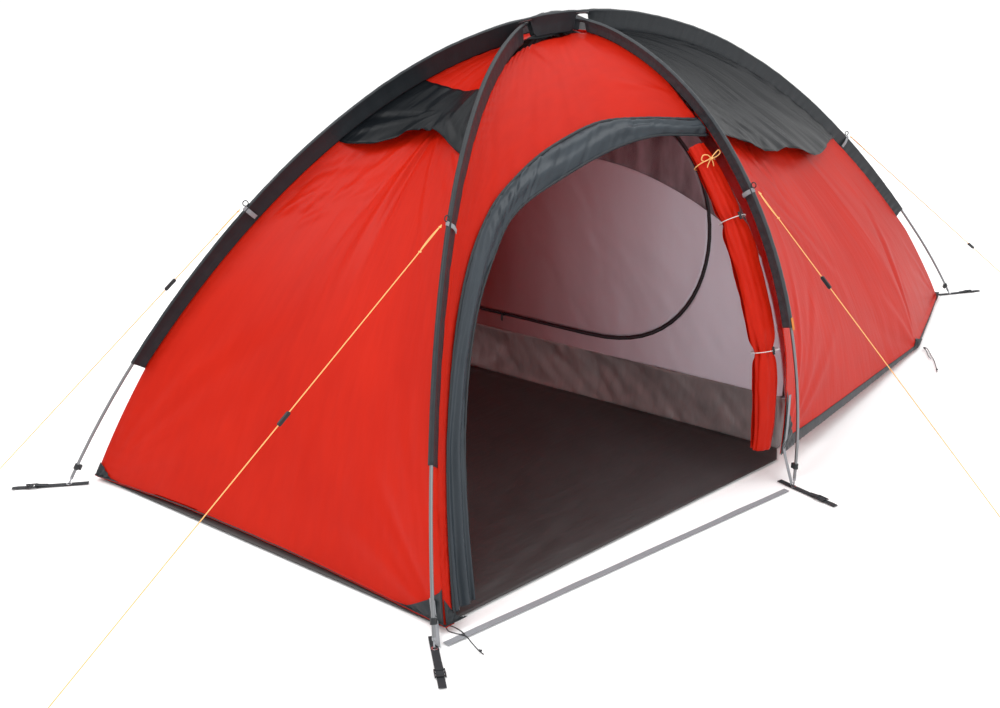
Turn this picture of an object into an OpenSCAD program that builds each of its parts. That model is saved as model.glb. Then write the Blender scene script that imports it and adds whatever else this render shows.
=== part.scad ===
// Three-pole trekking tent with a sleeping room, a vestibule and an open side door.
// +Y runs from the vestibule to the foot end, +X is the side with the open door.
// The origin is on the ground, midway between the two feet of the hoop.

/* [Ground plan] */
// Half the distance between the two front feet
front_half = 750; // [620:10:900]
// How far the front feet stand in front of the hoop
front_reach = 1380; // [1140:10:1660]
// Half the distance between the two feet of the hoop
hoop_half = 980; // [860:10:1180]
// Half the distance between the two rear feet
rear_half = 540; // [440:10:650]
// How far the rear feet stand behind the hoop
rear_reach = 2410; // [2000:10:2900]

/* [Poles] */
// Height of the diagonal poles at the middle of their span
pole_height = 1300; // [1080:10:1560]
// Outside diameter of the pole tube
pole_d = 9.5; // [7.9:0.1:11.4]
// Wall of the pole tube
pole_wall = 0.8; // [0.6:0.1:1.2]
// How far the middle of a diagonal pole bows sideways
pole_bow = 280; // [230:10:330]
// How far the top of the hoop leans back
hoop_lean = 120; // [60:5:150]
// Number of tubes in a diagonal pole
diag_tubes = 10; // [8:1:12]
// Number of tubes in the hoop
hoop_tubes = 7; // [5:1:9]
// Diameter of the elastic cord inside the tubes
shock_d = 2.5; // [2:0.1:3]

/* [Outer tent] */
// Thickness of every fabric wall
cloth = 1.6; // [1.3:0.1:2]
// Width of the pole sleeves
sleeve_w = 34; // [30:1:42]
// How far the front, side and rear panels are drawn in between the poles
panel_draw = 50; // [40:5:60]
// Height of the hem corners above the ground
corner_h = 14; // [10:1:20]
// How far the vent hoods stand off the outer tent
hood_stand = 55; // [40:5:66]

/* [Sleeping room] */
// Distance of the inner front wall behind the hoop line
room_front = 240; // [200:5:290]
// Half width of the inner front wall at the floor
room_half = 800; // [680:10:840]
// Height of the inner front wall
room_height = 1190; // [1000:10:1230]
// Gap between the foot end of the room and the rear feet line
room_end_gap = 215; // [195:5:240]
// Half width of the foot end of the room
room_end_half = 455; // [380:5:480]
// Height of the bathtub floor's walls
tub_h = 180; // [150:5:215]
// Half height of the inner door
door_half_h = 410; // [340:5:440]
// Width of the inner door from its hinge side
door_w = 980; // [820:10:1040]
// Width of the zips
zip_w = 10; // [8:1:12]

/* [Foot straps] */
// Width of the foot webbing
web_w = 20; // [18:1:24]
// Thickness of the webbing
web_t = 1.6; // [1.4:0.1:2]
// Distance from a foot to its buckle
buckle_out = 96; // [84:1:114]
// Radius of the round bar that the buckle turns on
bar_r = 1.8; // [1.5:0.1:2.1]
// Radius of the hole in a foot grommet
grommet_r = 5.5; // [4.6:0.1:6.6]

/* [Guy lines] */
// Diameter of the guy lines
guy_d = 3; // [2.5:0.1:3.5]
// Length of a line tensioner
tensioner_len = 34; // [28:1:40]

/* [Hidden] */

// Gap between neighbouring panels, and the small gap between stacked layers
seam_gap = 1.5;
layer_gap = 0.6;

// Routes of the cords that lie free, by hand
peg_loop_front_route = [
    [766, -1290, 5.2], [744, -1281, 3], [722, -1285, 8], [714, -1297, 12], [726, -1304, 6],
    [748, -1299, 4], [772, -1293, 4.2], [800, -1305, 3], [830, -1318, 2], [856, -1327, 2]
];
peg_loop_side_route = [
    [842, 1432, 5.2], [812, 1478, 3], [788, 1520, 5], [768, 1540, 9], [780, 1548, 5],
    [816, 1494, 2], [852, 1436, 2], [878, 1386, 2], [900, 1342, 2], [916, 1306, 2]
];
// Ground anchors of the guy lines: left front, right front, side, rear
guy_anchors = [[-820, -1690, 8], [300, -2160, 8], [1650, 30, 8], [830, 2580, 8]];

red = [0.84, 0.16, 0.1];
dark = [0.2, 0.22, 0.24];
slate = [0.36, 0.42, 0.47];
silver = [0.72, 0.73, 0.75];
pale = [0.72, 0.73, 0.78];
brown = [0.24, 0.22, 0.22];
orange = [0.98, 0.66, 0.3];

// Vectors and curves

function unit(v) = v / norm(v);

function mix(a, b, t) = a * (1 - t) + b * t;

function clamp(x, lo, hi) = min(max(x, lo), hi);

function bisect(f, a, b, n = 26) =
    let (m = (a + b) / 2)
    n == 0 ? m : f(m) < 0 ? bisect(f, m, b, n - 1) : bisect(f, a, m, n - 1);

// A smooth curve through points, t from 0 to 1
function through(pts, t) =
    let (n = len(pts) - 1,
         i = clamp(floor(t * n), 0, n - 1),
         f = t * n - i,
         p0 = pts[max(i - 1, 0)],
         p1 = pts[i],
         p2 = pts[i + 1],
         p3 = pts[min(i + 2, n)])
    0.5 * (2 * p1 + (p2 - p0) * f + (2 * p0 - 5 * p1 + 4 * p2 - p3) * f * f
        + (3 * p1 - p0 - 3 * p2 + p3) * f * f * f);

function tangent(f, t) = unit(f(t + 0.002) - f(t - 0.002));

// Length against t along a curve, for lookup()
function measured(f, n = 80) =
    let (steps = [for (i = [1 : n]) norm(f(i / n) - f((i - 1) / n))])
    [for (i = 0, l = 0; i <= n; l = l + (i < n ? steps[i] : 0), i = i + 1) [l, i / n]];

// The three poles. side is 1 for the pole from the left front foot to the right rear foot
// and -1 for its mirror image. The poles pass over each other by pole_step.

rise = 1.818;
front_fullness = 0.31;
bow_front = 130;
pole_step = pole_d + 4.5;
diag_mid = [rear_half - front_half, rear_reach - front_reach] / 2;
diag_arm = [rear_half + front_half, rear_reach + front_reach] / 2;
diag_side = [unit(diag_arm)[1], -unit(diag_arm)[0]];

function swell(t) = pow(max(sin(180 * t), 0), rise);

function lift(side) = side > 0 ? 2 * pole_step : pole_step;

function diag(t, side, up = 0) =
    let (s = -cos(180 * t),
         k = swell(t),
         p = diag_mid + s * diag_arm + (pole_bow - bow_front * s) * k * diag_side)
    [side * p[0], p[1], (pole_height * (1 - front_fullness * s) + up) * k];

hoop_square = 1.08;
hoop_round = 0.975;

function hoop_k_at(x) = pow(1 - pow(min(abs(x) / hoop_half, 1), 2 / hoop_square), hoop_round / 2);

t_cross = bisect(function (t) diag(t, 1)[0], 0.25, 0.55);
t_hoop = bisect(function (t) diag(t, 1)[1] - hoop_lean * hoop_k_at(diag(t, 1)[0]), t_cross, 0.7);
hoop_height = diag(t_hoop, 1)[2] / hoop_k_at(diag(t_hoop, 1)[0]);
h_cross = acos(-pow(diag(t_hoop, 1)[0] / hoop_half, 1 / hoop_square)) / 180;

function hoop(t) =
    let (c = cos(180 * t), k = pow(max(sin(180 * t), 0), hoop_round))
    [-sign(c) * pow(abs(c), hoop_square) * hoop_half, hoop_lean * k, hoop_height * k];

function pole_curve(which) =
    which == 0 ? function (t) diag(t, 1, lift(1))
    : which == 1 ? function (t) diag(t, -1, lift(-1))
    : function (t) hoop(t);

// Towards the middle of the tent, square to a pole
heart = [0, (rear_reach - front_reach) / 3, pole_height * 0.2];

function inward(p, d) = let (c = heart - p) unit(c - (c * d) * d);

// A swept solid: rings of points, closed at both ends
function ring_faces(n, m) = [
    for (i = [0 : n - 2], j = [0 : m - 1])
        each let (a = i * m + j, b = i * m + (j + 1) % m)
        [[a, b, a + m], [b, b + m, a + m]]
];

module swept(rings) {
    n = len(rings);
    m = len(rings[0]);
    polyhedron(
        points = [for (r = rings) each r],
        faces = concat(ring_faces(n, m),
            [[for (j = [m - 1 : -1 : 0]) j]],
            [[for (j = [0 : m - 1]) (n - 1) * m + j]])
    );
}

// A swept wall with a hollow inside it, open at both ends
module swept_wall(outer, inner) {
    n = len(outer);
    m = len(outer[0]);
    k = n * m;
    polyhedron(
        points = [for (r = concat(outer, inner)) each r],
        faces = concat(
            ring_faces(n, m),
            [for (f = ring_faces(n, m)) [f[2] + k, f[1] + k, f[0] + k]],
            [for (j = [0 : m - 1]) each
                let (a = j, b = (j + 1) % m, e = (n - 1) * m)
                [[a, a + k, b], [b, a + k, b + k],
                 [e + a, e + b, e + a + k], [e + b, e + b + k, e + a + k]]])
    );
}

// A sheet of cloth over a surface f(u, v), lifted off it by off(u, v)
module sheet(f, nu, nv, u0 = 0, u1 = 1, v0 = 0, v1 = 1, off = function (u, v) 0, thick = cloth) {
    du = (u1 - u0) / nu;
    dv = (v1 - v0) / nv;
    h = 0.002;
    mid = f((u0 + u1) / 2, (v0 + v1) / 2);
    mid_n = cross(f((u0 + u1) / 2 + h, (v0 + v1) / 2) - mid, f((u0 + u1) / 2, (v0 + v1) / 2 + h) - mid);
    out = mid_n * (mid - heart) > 0 ? 1 : -1;
    cells = [
        for (i = [0 : nu], j = [0 : nv])
            let (u = u0 + i * du,
                 v = v0 + j * dv,
                 n = out * unit(cross(f(u + h, v) - f(u - h, v), f(u, v + h) - f(u, v - h))),
                 p = f(u, v) + n * off(u, v))
            [p + n * thick / 2, p - n * thick / 2]
    ];
    count = (nu + 1) * (nv + 1);
    w = nv + 1;
    rim = concat(
        [for (i = [0 : nu - 1]) [i * w, (i + 1) * w]],
        [for (j = [0 : nv - 1]) [nu * w + j, nu * w + j + 1]],
        [for (i = [nu : -1 : 1]) [i * w + nv, (i - 1) * w + nv]],
        [for (j = [nv : -1 : 1]) [j, j - 1]]);
    top = [
        for (i = [0 : nu - 1], j = [0 : nv - 1])
            each let (a = i * w + j, b = a + w, c = b + 1, d = a + 1)
            [[a, c, b], [a, d, c]]
    ];
    under = [for (t = top) [t[2] + count, t[1] + count, t[0] + count]];
    sides = [for (e = rim) each [[e[0], e[1], e[1] + count], [e[0], e[1] + count, e[0] + count]]];
    all = concat(top, under, sides);
    polyhedron(
        points = concat([for (c = cells) c[0]], [for (c = cells) c[1]]),
        faces = out > 0 ? all : [for (t = all) [t[2], t[1], t[0]]]
    );
}

// A surface over four border curves: below and above run with u, left and right with v
function patch(below, above, left, right) =
    let (p00 = below(0), p10 = below(1), p01 = above(0), p11 = above(1))
    function (u, v)
        (1 - v) * below(u) + v * above(u) + (1 - u) * left(v) + u * right(v)
        - (1 - u) * (1 - v) * p00 - u * (1 - v) * p10 - (1 - u) * v * p01 - u * v * p11;

// The same surface drawn in towards the middle of the tent
function drawn_in(f, by) =
    function (u, v)
        let (p = f(u, v))
        p + unit(heart - p) * by * 16 * u * (1 - u) * v * (1 - v);

// Poles and their fittings

pole_r = pole_d / 2;
bore_r = pole_r - pole_wall;
tip_len = 28;
insert_len = 44;
insert_play = 0.45;
joint_gap = 0.3;
tube_counts = [diag_tubes, diag_tubes, hoop_tubes];

// The line that a built pole really takes: one circular arc per tube
function pole_path(which) =
    let (f = pole_curve(which),
         table = measured(f),
         lengths = [for (row = table) [row[1], row[0]]],
         n = tube_counts[which],
         tube = (table[len(table) - 1][0] - 2 * tip_len) / n,
         at = function (l) f(lookup(l, table)),
         arcs = [for (i = [0 : n - 1])
             arc_of(at(tip_len + i * tube), at(tip_len + (i + 0.5) * tube), at(tip_len + (i + 1) * tube))])
    function (t)
        let (l = lookup(clamp(t, 0, 1), lengths) + (t < 0 ? t : t > 1 ? t - 1 : 0) * 1000,
             i = clamp(floor((l - tip_len) / tube), 0, n - 1),
             arc = arcs[i],
             turn = arc[5] * (l - tip_len - i * tube) / tube)
        arc[0] + arc[1] * (cos(turn) * arc[2] + sin(turn) * arc[3]);

paths = [pole_path(0), pole_path(1), pole_path(2)];

// The circle through three points: centre, radius, its two axes, its normal and the angle turned
function arc_of(a, b, c) =
    let (u = unit(b - a),
         w = unit(cross(b - a, c - a)),
         v = cross(w, u),
         bx = norm(b - a),
         cx = (c - a) * u,
         cy = (c - a) * v,
         h = ((cx - bx / 2) ^ 2 + cy ^ 2 - (bx / 2) ^ 2) / (2 * cy),
         centre = a + u * bx / 2 + v * h,
         r = norm(centre - a),
         ex = (a - centre) / r,
         ey = cross(w, ex))
    [centre, r, ex, ey, w, atan2((c - centre) * ey, (c - centre) * ex)];

// Bends a profile along that circle. The profile's x runs outwards.
module bent(a, b, c) {
    arc = arc_of(a, b, c);
    o = arc[0];
    ex = arc[2];
    ey = arc[3];
    w = arc[4];
    multmatrix([
        [ex.x, ey.x, w.x, o.x],
        [ex.y, ey.y, w.y, o.y],
        [ex.z, ey.z, w.z, o.z],
        [0, 0, 0, 1]
    ])
        rotate_extrude(angle = arc[5], $fn = 720) translate([arc[1], 0]) children();
}

// Bends a profile along a stretch of a pole, from one length to another
module bent_stretch(f, table, l0, l1) {
    bent(f(lookup(l0, table)), f(lookup((l0 + l1) / 2, table)), f(lookup(l1, table))) children();
}

module ring_profile(r_out, r_in) {
    difference() {
        circle(r_out, $fn = 28);
        circle(r_in, $fn = 28);
    }
}

// Stands something on a pole at length l, with its z along the pole
module on_pole(f, table, l) {
    t = lookup(l, table);
    d = tangent(f, t);
    n = inward(f(t), d);
    b = cross(d, n);
    p = f(t);
    multmatrix([
        [n.x, b.x, d.x, p.x],
        [n.y, b.y, d.y, p.y],
        [n.z, b.z, d.z, p.z],
        [0, 0, 0, 1]
    ]) children();
}

module pole_tubes(which) {
    f = paths[which];
    table = measured(f);
    whole = table[len(table) - 1][0];
    n = tube_counts[which];
    each_len = (whole - 2 * tip_len) / n;
    color(silver)
        for (i = [0 : n - 1])
            bent_stretch(f, table, tip_len + i * each_len + joint_gap / 2,
                tip_len + (i + 1) * each_len - joint_gap / 2)
                ring_profile(pole_r, bore_r);
}

module pole_left_front() { pole_tubes(0); }

module pole_right_front() { pole_tubes(1); }

module pole_hoop() { pole_tubes(2); }

module pole_inserts() {
    color("gray")
        for (which = [0 : 2]) {
            f = paths[which];
            table = measured(f);
            n = tube_counts[which];
            each_len = (table[len(table) - 1][0] - 2 * tip_len) / n;
            for (i = [1 : n - 1])
                bent_stretch(f, table, tip_len + i * each_len - insert_len / 2,
                    tip_len + i * each_len + insert_len / 2)
                    ring_profile(bore_r - insert_play, bore_r - insert_play - 0.9);
        }
}

module shock_cords() {
    color("white")
        for (which = [0 : 2]) {
            f = paths[which];
            table = measured(f);
            n = tube_counts[which];
            each_len = (table[len(table) - 1][0] - 2 * tip_len) / n;
            for (i = [0 : n - 1])
                bent_stretch(f, table, tip_len + i * each_len + (i == 0 ? 22 : joint_gap / 2),
                    tip_len + (i + 1) * each_len - (i == n - 1 ? 22 : joint_gap / 2))
                    circle(shock_d / 2, $fn = 16);
        }
}

// A turned plug in each end of a pole, with a pin that stands in the foot grommet
module pole_tip() {
    pin_r = 2.3;
    rotate_extrude($fn = 32)
        polygon([[0, -tip_len + 4.5], [pin_r - 0.6, -tip_len + 4.5], [pin_r, -tip_len + 6],
            [pin_r, -8], [pole_r, -6.5], [pole_r, -0.3], [bore_r - 0.4, -0.3],
            [bore_r - 0.4, 17], [bore_r - 1.2, 18.5], [0, 18.5]]);
}

module at_both_ends(which, l) {
    f = paths[which];
    table = measured(f);
    back = function (t) f(1 - t);
    on_pole(f, table, l) children();
    on_pole(back, measured(back), l) children();
}

module pole_tips() {
    color(silver) for (which = [0 : 2]) at_both_ends(which, tip_len) pole_tip();
}

clip_at = 66;

// A snap clip on each pole end, that holds the hem corner
module pole_clips() {
    color(dark)
        for (which = [0 : 2])
            at_both_ends(which, clip_at)
                difference() {
                    union() {
                        cylinder(h = 16, r = pole_r + 3, center = true, $fn = 32);
                        translate([pole_r + 4, 0, 0]) cube([12, 9, 16], center = true);
                    }
                    cylinder(h = 18, r = pole_r + 0.35, center = true, $fn = 32);
                    translate([pole_r + 7, 0, 0]) cube([4, 12, 9], center = true);
                }
}

// Pole sleeves: a fin of cloth with the pole along its outer edge

sleeve_starts = [0.145, 0.145, 0.115];
sleeve_ends = [0.775, 0.775, 0.885];
cross_room = 0.011;

function sleeve_ring(f, t, reach, grow) =
    let (d = tangent(f, t),
         n = inward(f(t), d),
         b = cross(d, n),
         r = pole_r + 1.7 + grow,
         w = reach - (grow > 0 ? 0 : 3),
         thin = grow > 0 ? 1.3 : 0.4)
    [for (q = [[-r, 0], [-0.71 * r, 0.71 * r], [0, r], [1.3 * r, 0.68 * r], [w, thin],
            [w, -thin], [1.3 * r, -0.68 * r], [0, -r], [-0.71 * r, -0.71 * r]])
        f(t) + n * q[0] + b * q[1]];

module sleeve_piece(which, t0, t1) {
    f = paths[which];
    n = max(2, ceil((t1 - t0) * 58));
    ts = [for (i = [0 : n]) t0 + (t1 - t0) * i / n];
    up = which == 0 ? lift(1) : which == 1 ? lift(-1) : 0;
    swept_wall(
        [for (t = ts) sleeve_ring(f, t, sleeve_w + up * swell(t), 1)],
        [for (t = ts) sleeve_ring(f, t, sleeve_w + up * swell(t), 0)]);
}

module sleeve_left_front() {
    color(dark) {
        sleeve_piece(0, sleeve_starts[0], t_cross - cross_room);
        sleeve_piece(0, t_cross + cross_room, t_hoop - cross_room);
        sleeve_piece(0, t_hoop + cross_room, sleeve_ends[0]);
    }
}

module sleeve_right_front() {
    color(dark) {
        sleeve_piece(1, sleeve_starts[1], t_hoop - cross_room);
        sleeve_piece(1, t_hoop + cross_room, sleeve_ends[1]);
    }
}

module sleeve_hoop() { color(dark) sleeve_piece(2, sleeve_starts[2], sleeve_ends[2]); }

// Outer tent: each panel spans the seams of two or three poles and a hem

seam_in = sleeve_w + 2.5;
corner_in = 40;
loose_below = 400;

function seam(f, t) =
    let (p = f(t),
         d = tangent(f, t),
         q = p + inward(p, d) * (seam_in + corner_in * clamp(1 - p.z / loose_below, 0, 1)))
    [q.x, q.y, max(q.z, corner_h)];

function diag_seam(t, side) = seam(function (t) diag(t, side), t);

function hoop_seam(t) = seam(function (t) hoop(t), t);

t_front = 0.03;
t_rear = 0.965;
t_hoop_foot = 0.982;

function line_between(a, b) = function (u) mix(a, b, u);

// A hem with a shallow curve: bow is how far its middle moves along dir
function hem(a, b, bow, dir) = function (u) mix(a, b, u) + dir * bow * 4 * u * (1 - u);

front_face = drawn_in(
    patch(
        hem(diag_seam(t_front, 1), diag_seam(t_front, -1), 30, [0, 1, 0]),
        line_between(diag_seam(t_cross, 1), diag_seam(t_cross, -1) + [1, 0, 0]),
        function (v) diag_seam(mix(t_front, t_cross, v), 1),
        function (v) diag_seam(mix(t_front, t_cross, v), -1) + [v, 0, 0]),
    panel_draw);

// Vestibule side on the +X side for side = 1
function vestibule_side(side) =
    let (foot = function (v) diag_seam(mix(t_front, t_cross, v), -side),
         arch = function (v) let (q = hoop_seam(mix(t_hoop_foot, h_cross, v))) [side * q.x, q.y, q.z])
    drawn_in(
        patch(line_between(foot(0), arch(0)), line_between(foot(1), arch(1)), foot, arch),
        panel_draw);

// Sleeping side between the hoop and the rear foot, with a peg point on the hem
rim_u = 0.006;
peg_u = mix(rim_u, 1 - rim_u, 0.7);
peg_at = 0.656;
peg_out = 90;

function sleeping_side(side) =
    let (arch = function (v) let (q = hoop_seam(mix(t_hoop_foot, h_cross, v))) [side * q.x, q.y, q.z],
         foot = function (v) diag_seam(mix(t_rear, t_hoop, v), side),
         a = arch(0),
         b = foot(0),
         peg = mix(a, b, peg_at) + [side * peg_out, 0, 0],
         low = [peg.x, peg.y, 5],
         base = function (u) u < peg_u ? mix(a, low, u / peg_u) : mix(low, b, (u - peg_u) / (1 - peg_u)),
         top = line_between(arch(1), foot(1) + [side * 25, 25, 0]),
         foot_in = function (v) foot(v) + [side * 25 * v, 25 * v, 0])
    drawn_in(patch(base, top, arch, foot_in), panel_draw);

rear_face = drawn_in(
    patch(
        hem(diag_seam(t_rear, -1), diag_seam(t_rear, 1), -30, [0, 1, 0]),
        function (u) hoop_seam(mix(1 - h_cross, h_cross, u)),
        function (v) diag_seam(mix(t_rear, t_hoop, v), -1),
        function (v) diag_seam(mix(t_rear, t_hoop, v), 1)),
    panel_draw);

crown_face = patch(
    function (u) hoop_seam(mix(1 - h_cross, h_cross, u)),
    line_between(diag_seam(t_cross, -1) - [1, 0, 0], diag_seam(t_cross, 1) + [1, 0, 0]),
    function (v) diag_seam(mix(t_hoop, t_cross, v), -1) - [v, 0, 0],
    function (v) diag_seam(mix(t_hoop, t_cross, v), 1) + [v, 0, 0]);

door_side = vestibule_side(1);
closed_side = vestibule_side(-1);
right_side = sleeping_side(1);
left_side = sleeping_side(-1);

// How far up the panels the vents start
hood_low = 0.70;
hood_high = 0.83;
cap_low = 0.60;

// Door arch on the open side, as places on its panel
arch_outer = [[0.02, 0.006], [0.02, 0.3], [0.04, 0.5], [0.1, 0.6], [0.2, 0.65], [0.36, 0.688],
    [0.6, 0.706], [0.81, 0.675], [0.985, 0.625]];
arch_inner = [[0.07, 0.006], [0.065, 0.3], [0.085, 0.455], [0.14, 0.545], [0.21, 0.595], [0.37, 0.624],
    [0.61, 0.644], [0.82, 0.633], [0.985, 0.592]];
panel_edge = [[0.008, 0.006], [0.008, 0.3], [0.008, 0.55], [0.008, 0.8], [0.03, 0.93], [0.2, 0.972],
    [0.6, 0.985], [0.985, 0.965], [0.985, 0.66]];

function band(f, rim_a, rim_b) =
    function (u, v) let (q = mix(through(rim_a, u), through(rim_b, u), v)) f(q[0], q[1]);

panel_cells = 10;
side_rows = 8;
tall_rows = 9;
rim_v = 0.004;

function cell_u(k) = mix(rim_u, 1 - rim_u, k / panel_cells);

module panel(f, rows, top) {
    sheet(f, panel_cells, rows, u0 = rim_u, u1 = 1 - rim_u, v0 = rim_v, v1 = top);
}

module fly_front() { color(red) panel(front_face, tall_rows, hood_high - 0.035); }

module fly_front_peak() {
    color(red) sheet(front_face, 5, 3, u0 = 0.02, u1 = 0.98, v0 = hood_high - 0.03, v1 = 0.965);
}

module fly_door_side() { color(red) sheet(band(door_side, panel_edge, arch_outer), 27, 3, v1 = 0.985); }

module fly_closed_side() { color(red) panel(closed_side, tall_rows, 0.985); }

module fly_side_right() { color(red) panel(right_side, side_rows, cap_low + 0.02); }

module fly_side_left() { color(red) panel(left_side, side_rows, cap_low + 0.02); }

// The dark cloth over the poles' crossing and at the top of both sleeping sides
module fly_caps() {
    color(dark) {
        sheet(crown_face, 4, 3, u0 = 0.03, u1 = 0.97, v0 = 0.04, v1 = 0.9);
        for (f = [right_side, left_side])
            sheet(f, 7, 5, u0 = 0.012, u1 = 0.988, v0 = cap_low + 0.045, v1 = 0.95);
    }
}

module fly_rear() { color(red) panel(rear_face, tall_rows, 0.985); }

// Vent hoods stand off the panel along their lower edge
function hood_off(low, high) =
    function (u, v) 3.5 + hood_stand * sin(180 * u) * clamp((high - v) / (high - low), 0, 1);

module hood_front() {
    color(dark)
        sheet(front_face, 8, 3, u0 = 0.03, u1 = 0.97, v0 = hood_low, v1 = hood_high,
            off = hood_off(hood_low, hood_high));
}

module hoods_side() {
    low = cap_low - 0.03;
    high = cap_low + 0.09;
    color(dark)
        for (f = [right_side, left_side])
            sheet(f, 8, 3, u0 = 0.03, u1 = 0.97, v0 = low, v1 = high, off = hood_off(low, high));
}

trim_t = 0.8;
tape_off = function (u, v) (cloth + trim_t) / 2 + 2.4;
patch_off = function (u, v) (cloth + trim_t) / 2 + 2.0;
tape_top = 0.019;

module hem_tapes() {
    color(dark)
        for (f = [front_face, closed_side, right_side, left_side, rear_face])
            sheet(f, panel_cells - 2, 1, u0 = cell_u(1) + 0.004, u1 = cell_u(panel_cells - 1) - 0.004,
                v0 = rim_v, v1 = tape_top, off = tape_off, thick = trim_t);
}

module corner(f, u0, u1, rows, top) {
    sheet(f, 1, 1, u0 = u0, u1 = u1, v0 = rim_v, v1 = rim_v + (top - rim_v) / rows,
        off = patch_off, thick = trim_t);
}

module two_corners(f, rows, top) {
    corner(f, cell_u(0), cell_u(1), rows, top);
    corner(f, cell_u(panel_cells - 1), cell_u(panel_cells), rows, top);
}

module corner_patches() {
    color(dark) {
        two_corners(front_face, tall_rows, hood_high - 0.035);
        two_corners(closed_side, tall_rows, 0.985);
        two_corners(rear_face, tall_rows, 0.985);
        for (f = [right_side, left_side]) {
            two_corners(f, side_rows, cap_low + 0.02);
            sheet(f, 2, 1, u0 = peg_u - 0.035, u1 = peg_u + 0.035, v0 = tape_top + 0.004, v1 = 0.06,
                off = function (u, v) (cloth + trim_t) / 2 + 2.6, thick = trim_t);
        }
    }
}

// Outer door: storm flap along the arch, the zip behind it and the rolled-up door

module door_flap() { color(slate) sheet(band(door_side, arch_outer, arch_inner), 30, 2, v0 = 0.06, v1 = 1); }

module door_zip() {
    color(dark)
        sheet(band(door_side, arch_outer, arch_inner), 30, 1, v0 = 0.42, v1 = 0.62,
            off = function (u, v) -cloth - layer_gap - 1);
}

roll_high = 0.575;
roll_low = 0.012;
roll_side = 54;

function roll_centre(t) =
    let (v = mix(roll_low, roll_high, t),
         q = hoop_seam(mix(t_hoop_foot, h_cross, v)),
         d = tangent(function (t) hoop_seam(mix(t_hoop_foot, h_cross, t)), v),
         n = inward(q, d),
         b = cross(n, d))
    [q + n * 8 + b * roll_side * (b.y < 0 ? 1 : -1), n, b];

roll_wide = 42;
roll_deep = 24;

function roll_fat(t) = 0.55 + 0.45 * sin(180 * clamp(0.12 + 0.8 * t, 0, 1));

roll_rings = [
    for (i = [0 : 22])
        let (t = i / 22,
             c = roll_centre(t),
             wide = roll_wide * roll_fat(t),
             deep = roll_deep * roll_fat(t))
        [for (a = [0 : 36 : 324]) c[0] + c[2] * wide * cos(a) + c[1] * (deep * sin(a) + deep)]
];

module door_roll() { color(red) swept(roll_rings); }

toggle_ts = [0.72, 0.3];
toggle_out = 15;
tie_r = 1.2;

// An elastic loop round the roll, through the middle of its toggle
module toggle_tie(t) {
    c = roll_centre(t);
    n = c[1];
    b = c[2];
    steps = 32;
    wide = roll_wide * roll_fat(t) + 7;
    deep = roll_deep * roll_fat(t) + toggle_out;
    o = c[0] + n * roll_deep * roll_fat(t);
    rings = [for (i = [0 : steps - 1])
        let (a = 360 * i / steps, r = b * cos(a) / wide + n * sin(a) / deep)
        [for (k = [0 : 60 : 300])
            o + b * wide * cos(a) + n * deep * sin(a) + unit(r) * tie_r * cos(k)
                + cross(b, n) * tie_r * sin(k)]];
    m = 6;
    count = steps * m;
    faces = [for (f = ring_faces(steps + 1, m)) [for (i = f) i % count]];
    polyhedron(points = [for (r = rings) each r], faces = faces);
}

module toggle_ties() { color(dark) for (t = toggle_ts) toggle_tie(t); }

module toggle(t) {
    c = roll_centre(t);
    n = c[1];
    b = c[2];
    d = cross(b, n);
    p = c[0] - n * toggle_out;
    color(dark)
        multmatrix([
            [b.x, -n.x, d.x, p.x],
            [b.y, -n.y, d.y, p.y],
            [b.z, -n.z, d.z, p.z],
            [0, 0, 0, 1]
        ])
            difference() {
                rotate_extrude($fn = 28)
                    polygon([[0, -12], [2.6, -12], [3.6, -10.5], [3.6, -5], [4.4, -3], [4.4, 3],
                        [3.6, 5], [3.6, 10.5], [2.6, 12], [0, 12]]);
                rotate([0, 90, 0]) cylinder(h = 12, r = tie_r + 0.5, center = true, $fn = 20);
            }
}

module toggle_upper() { toggle(toggle_ts[0]); }

module toggle_lower() { toggle(toggle_ts[1]); }

// Ground sheet and sleeping room

room_end = rear_reach - room_end_gap;
tub_end_h = 60;

module ground_sheet() {
    inset = 55;
    gap = 3;
    color(brown)
        linear_extrude(cloth)
            polygon([
                [-front_half + inset, -front_reach + inset + 30],
                [front_half - inset, -front_reach + inset + 30],
                [room_half + 45, room_front - 90],
                [room_half, room_front - gap],
                [-room_half, room_front - gap],
                [-room_half - 45, room_front - 90]
            ]);
}

module floor_outline(inset = 0) {
    polygon([
        [-room_half + inset, room_front + inset],
        [room_half - inset, room_front + inset],
        [room_end_half - inset, room_end - inset],
        [-room_end_half + inset, room_end - inset]
    ]);
}

// Floor and upstanding walls, lower towards the foot end
module bathtub() {
    fall = tub_h - tub_end_h;
    run = room_end - room_front;
    color(brown)
        difference() {
            linear_extrude(tub_h) floor_outline();
            translate([0, 0, cloth]) linear_extrude(tub_h) floor_outline(cloth);
            translate([-room_half - 10, 0, 0])
                rotate([90, 0, 90])
                    linear_extrude(2 * room_half + 20)
                        polygon([
                            [room_front + 4, tub_h], [room_end + 10, tub_h - fall * (run + 10) / run],
                            [room_end + 10, tub_h + 10], [room_front + 4, tub_h + 10]
                        ]);
        }
}

// Outline of the inner front wall, seen from the vestibule: x across, y up
function room_arch(t) =
    let (c = cos(180 * t), k = pow(max(sin(180 * t), 0), hoop_round))
    [-sign(c) * pow(abs(c), hoop_square) * (room_half + 20), room_height * k];

module arch_outline() { polygon([for (i = [0 : 48]) room_arch(i / 48)]); }

mesh_top = 870;
mesh_fall = 500;

// Everything above the curved edge of the mesh
module above_mesh(gap) {
    polygon(concat(
        [for (x = [-1000 : 100 : 1000]) [x, mesh_top - mesh_fall * (x / 1000) ^ 2 + gap]],
        [[1000, 2000], [-1000, 2000]]));
}

// Outline of the inner door: a straight hinge side and a round free side
door_mid_z = tub_h + 70 + door_half_h;
hinge_x = -door_w / 2 + 10;
door_mid_x = hinge_x + door_w * 0.52;

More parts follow.
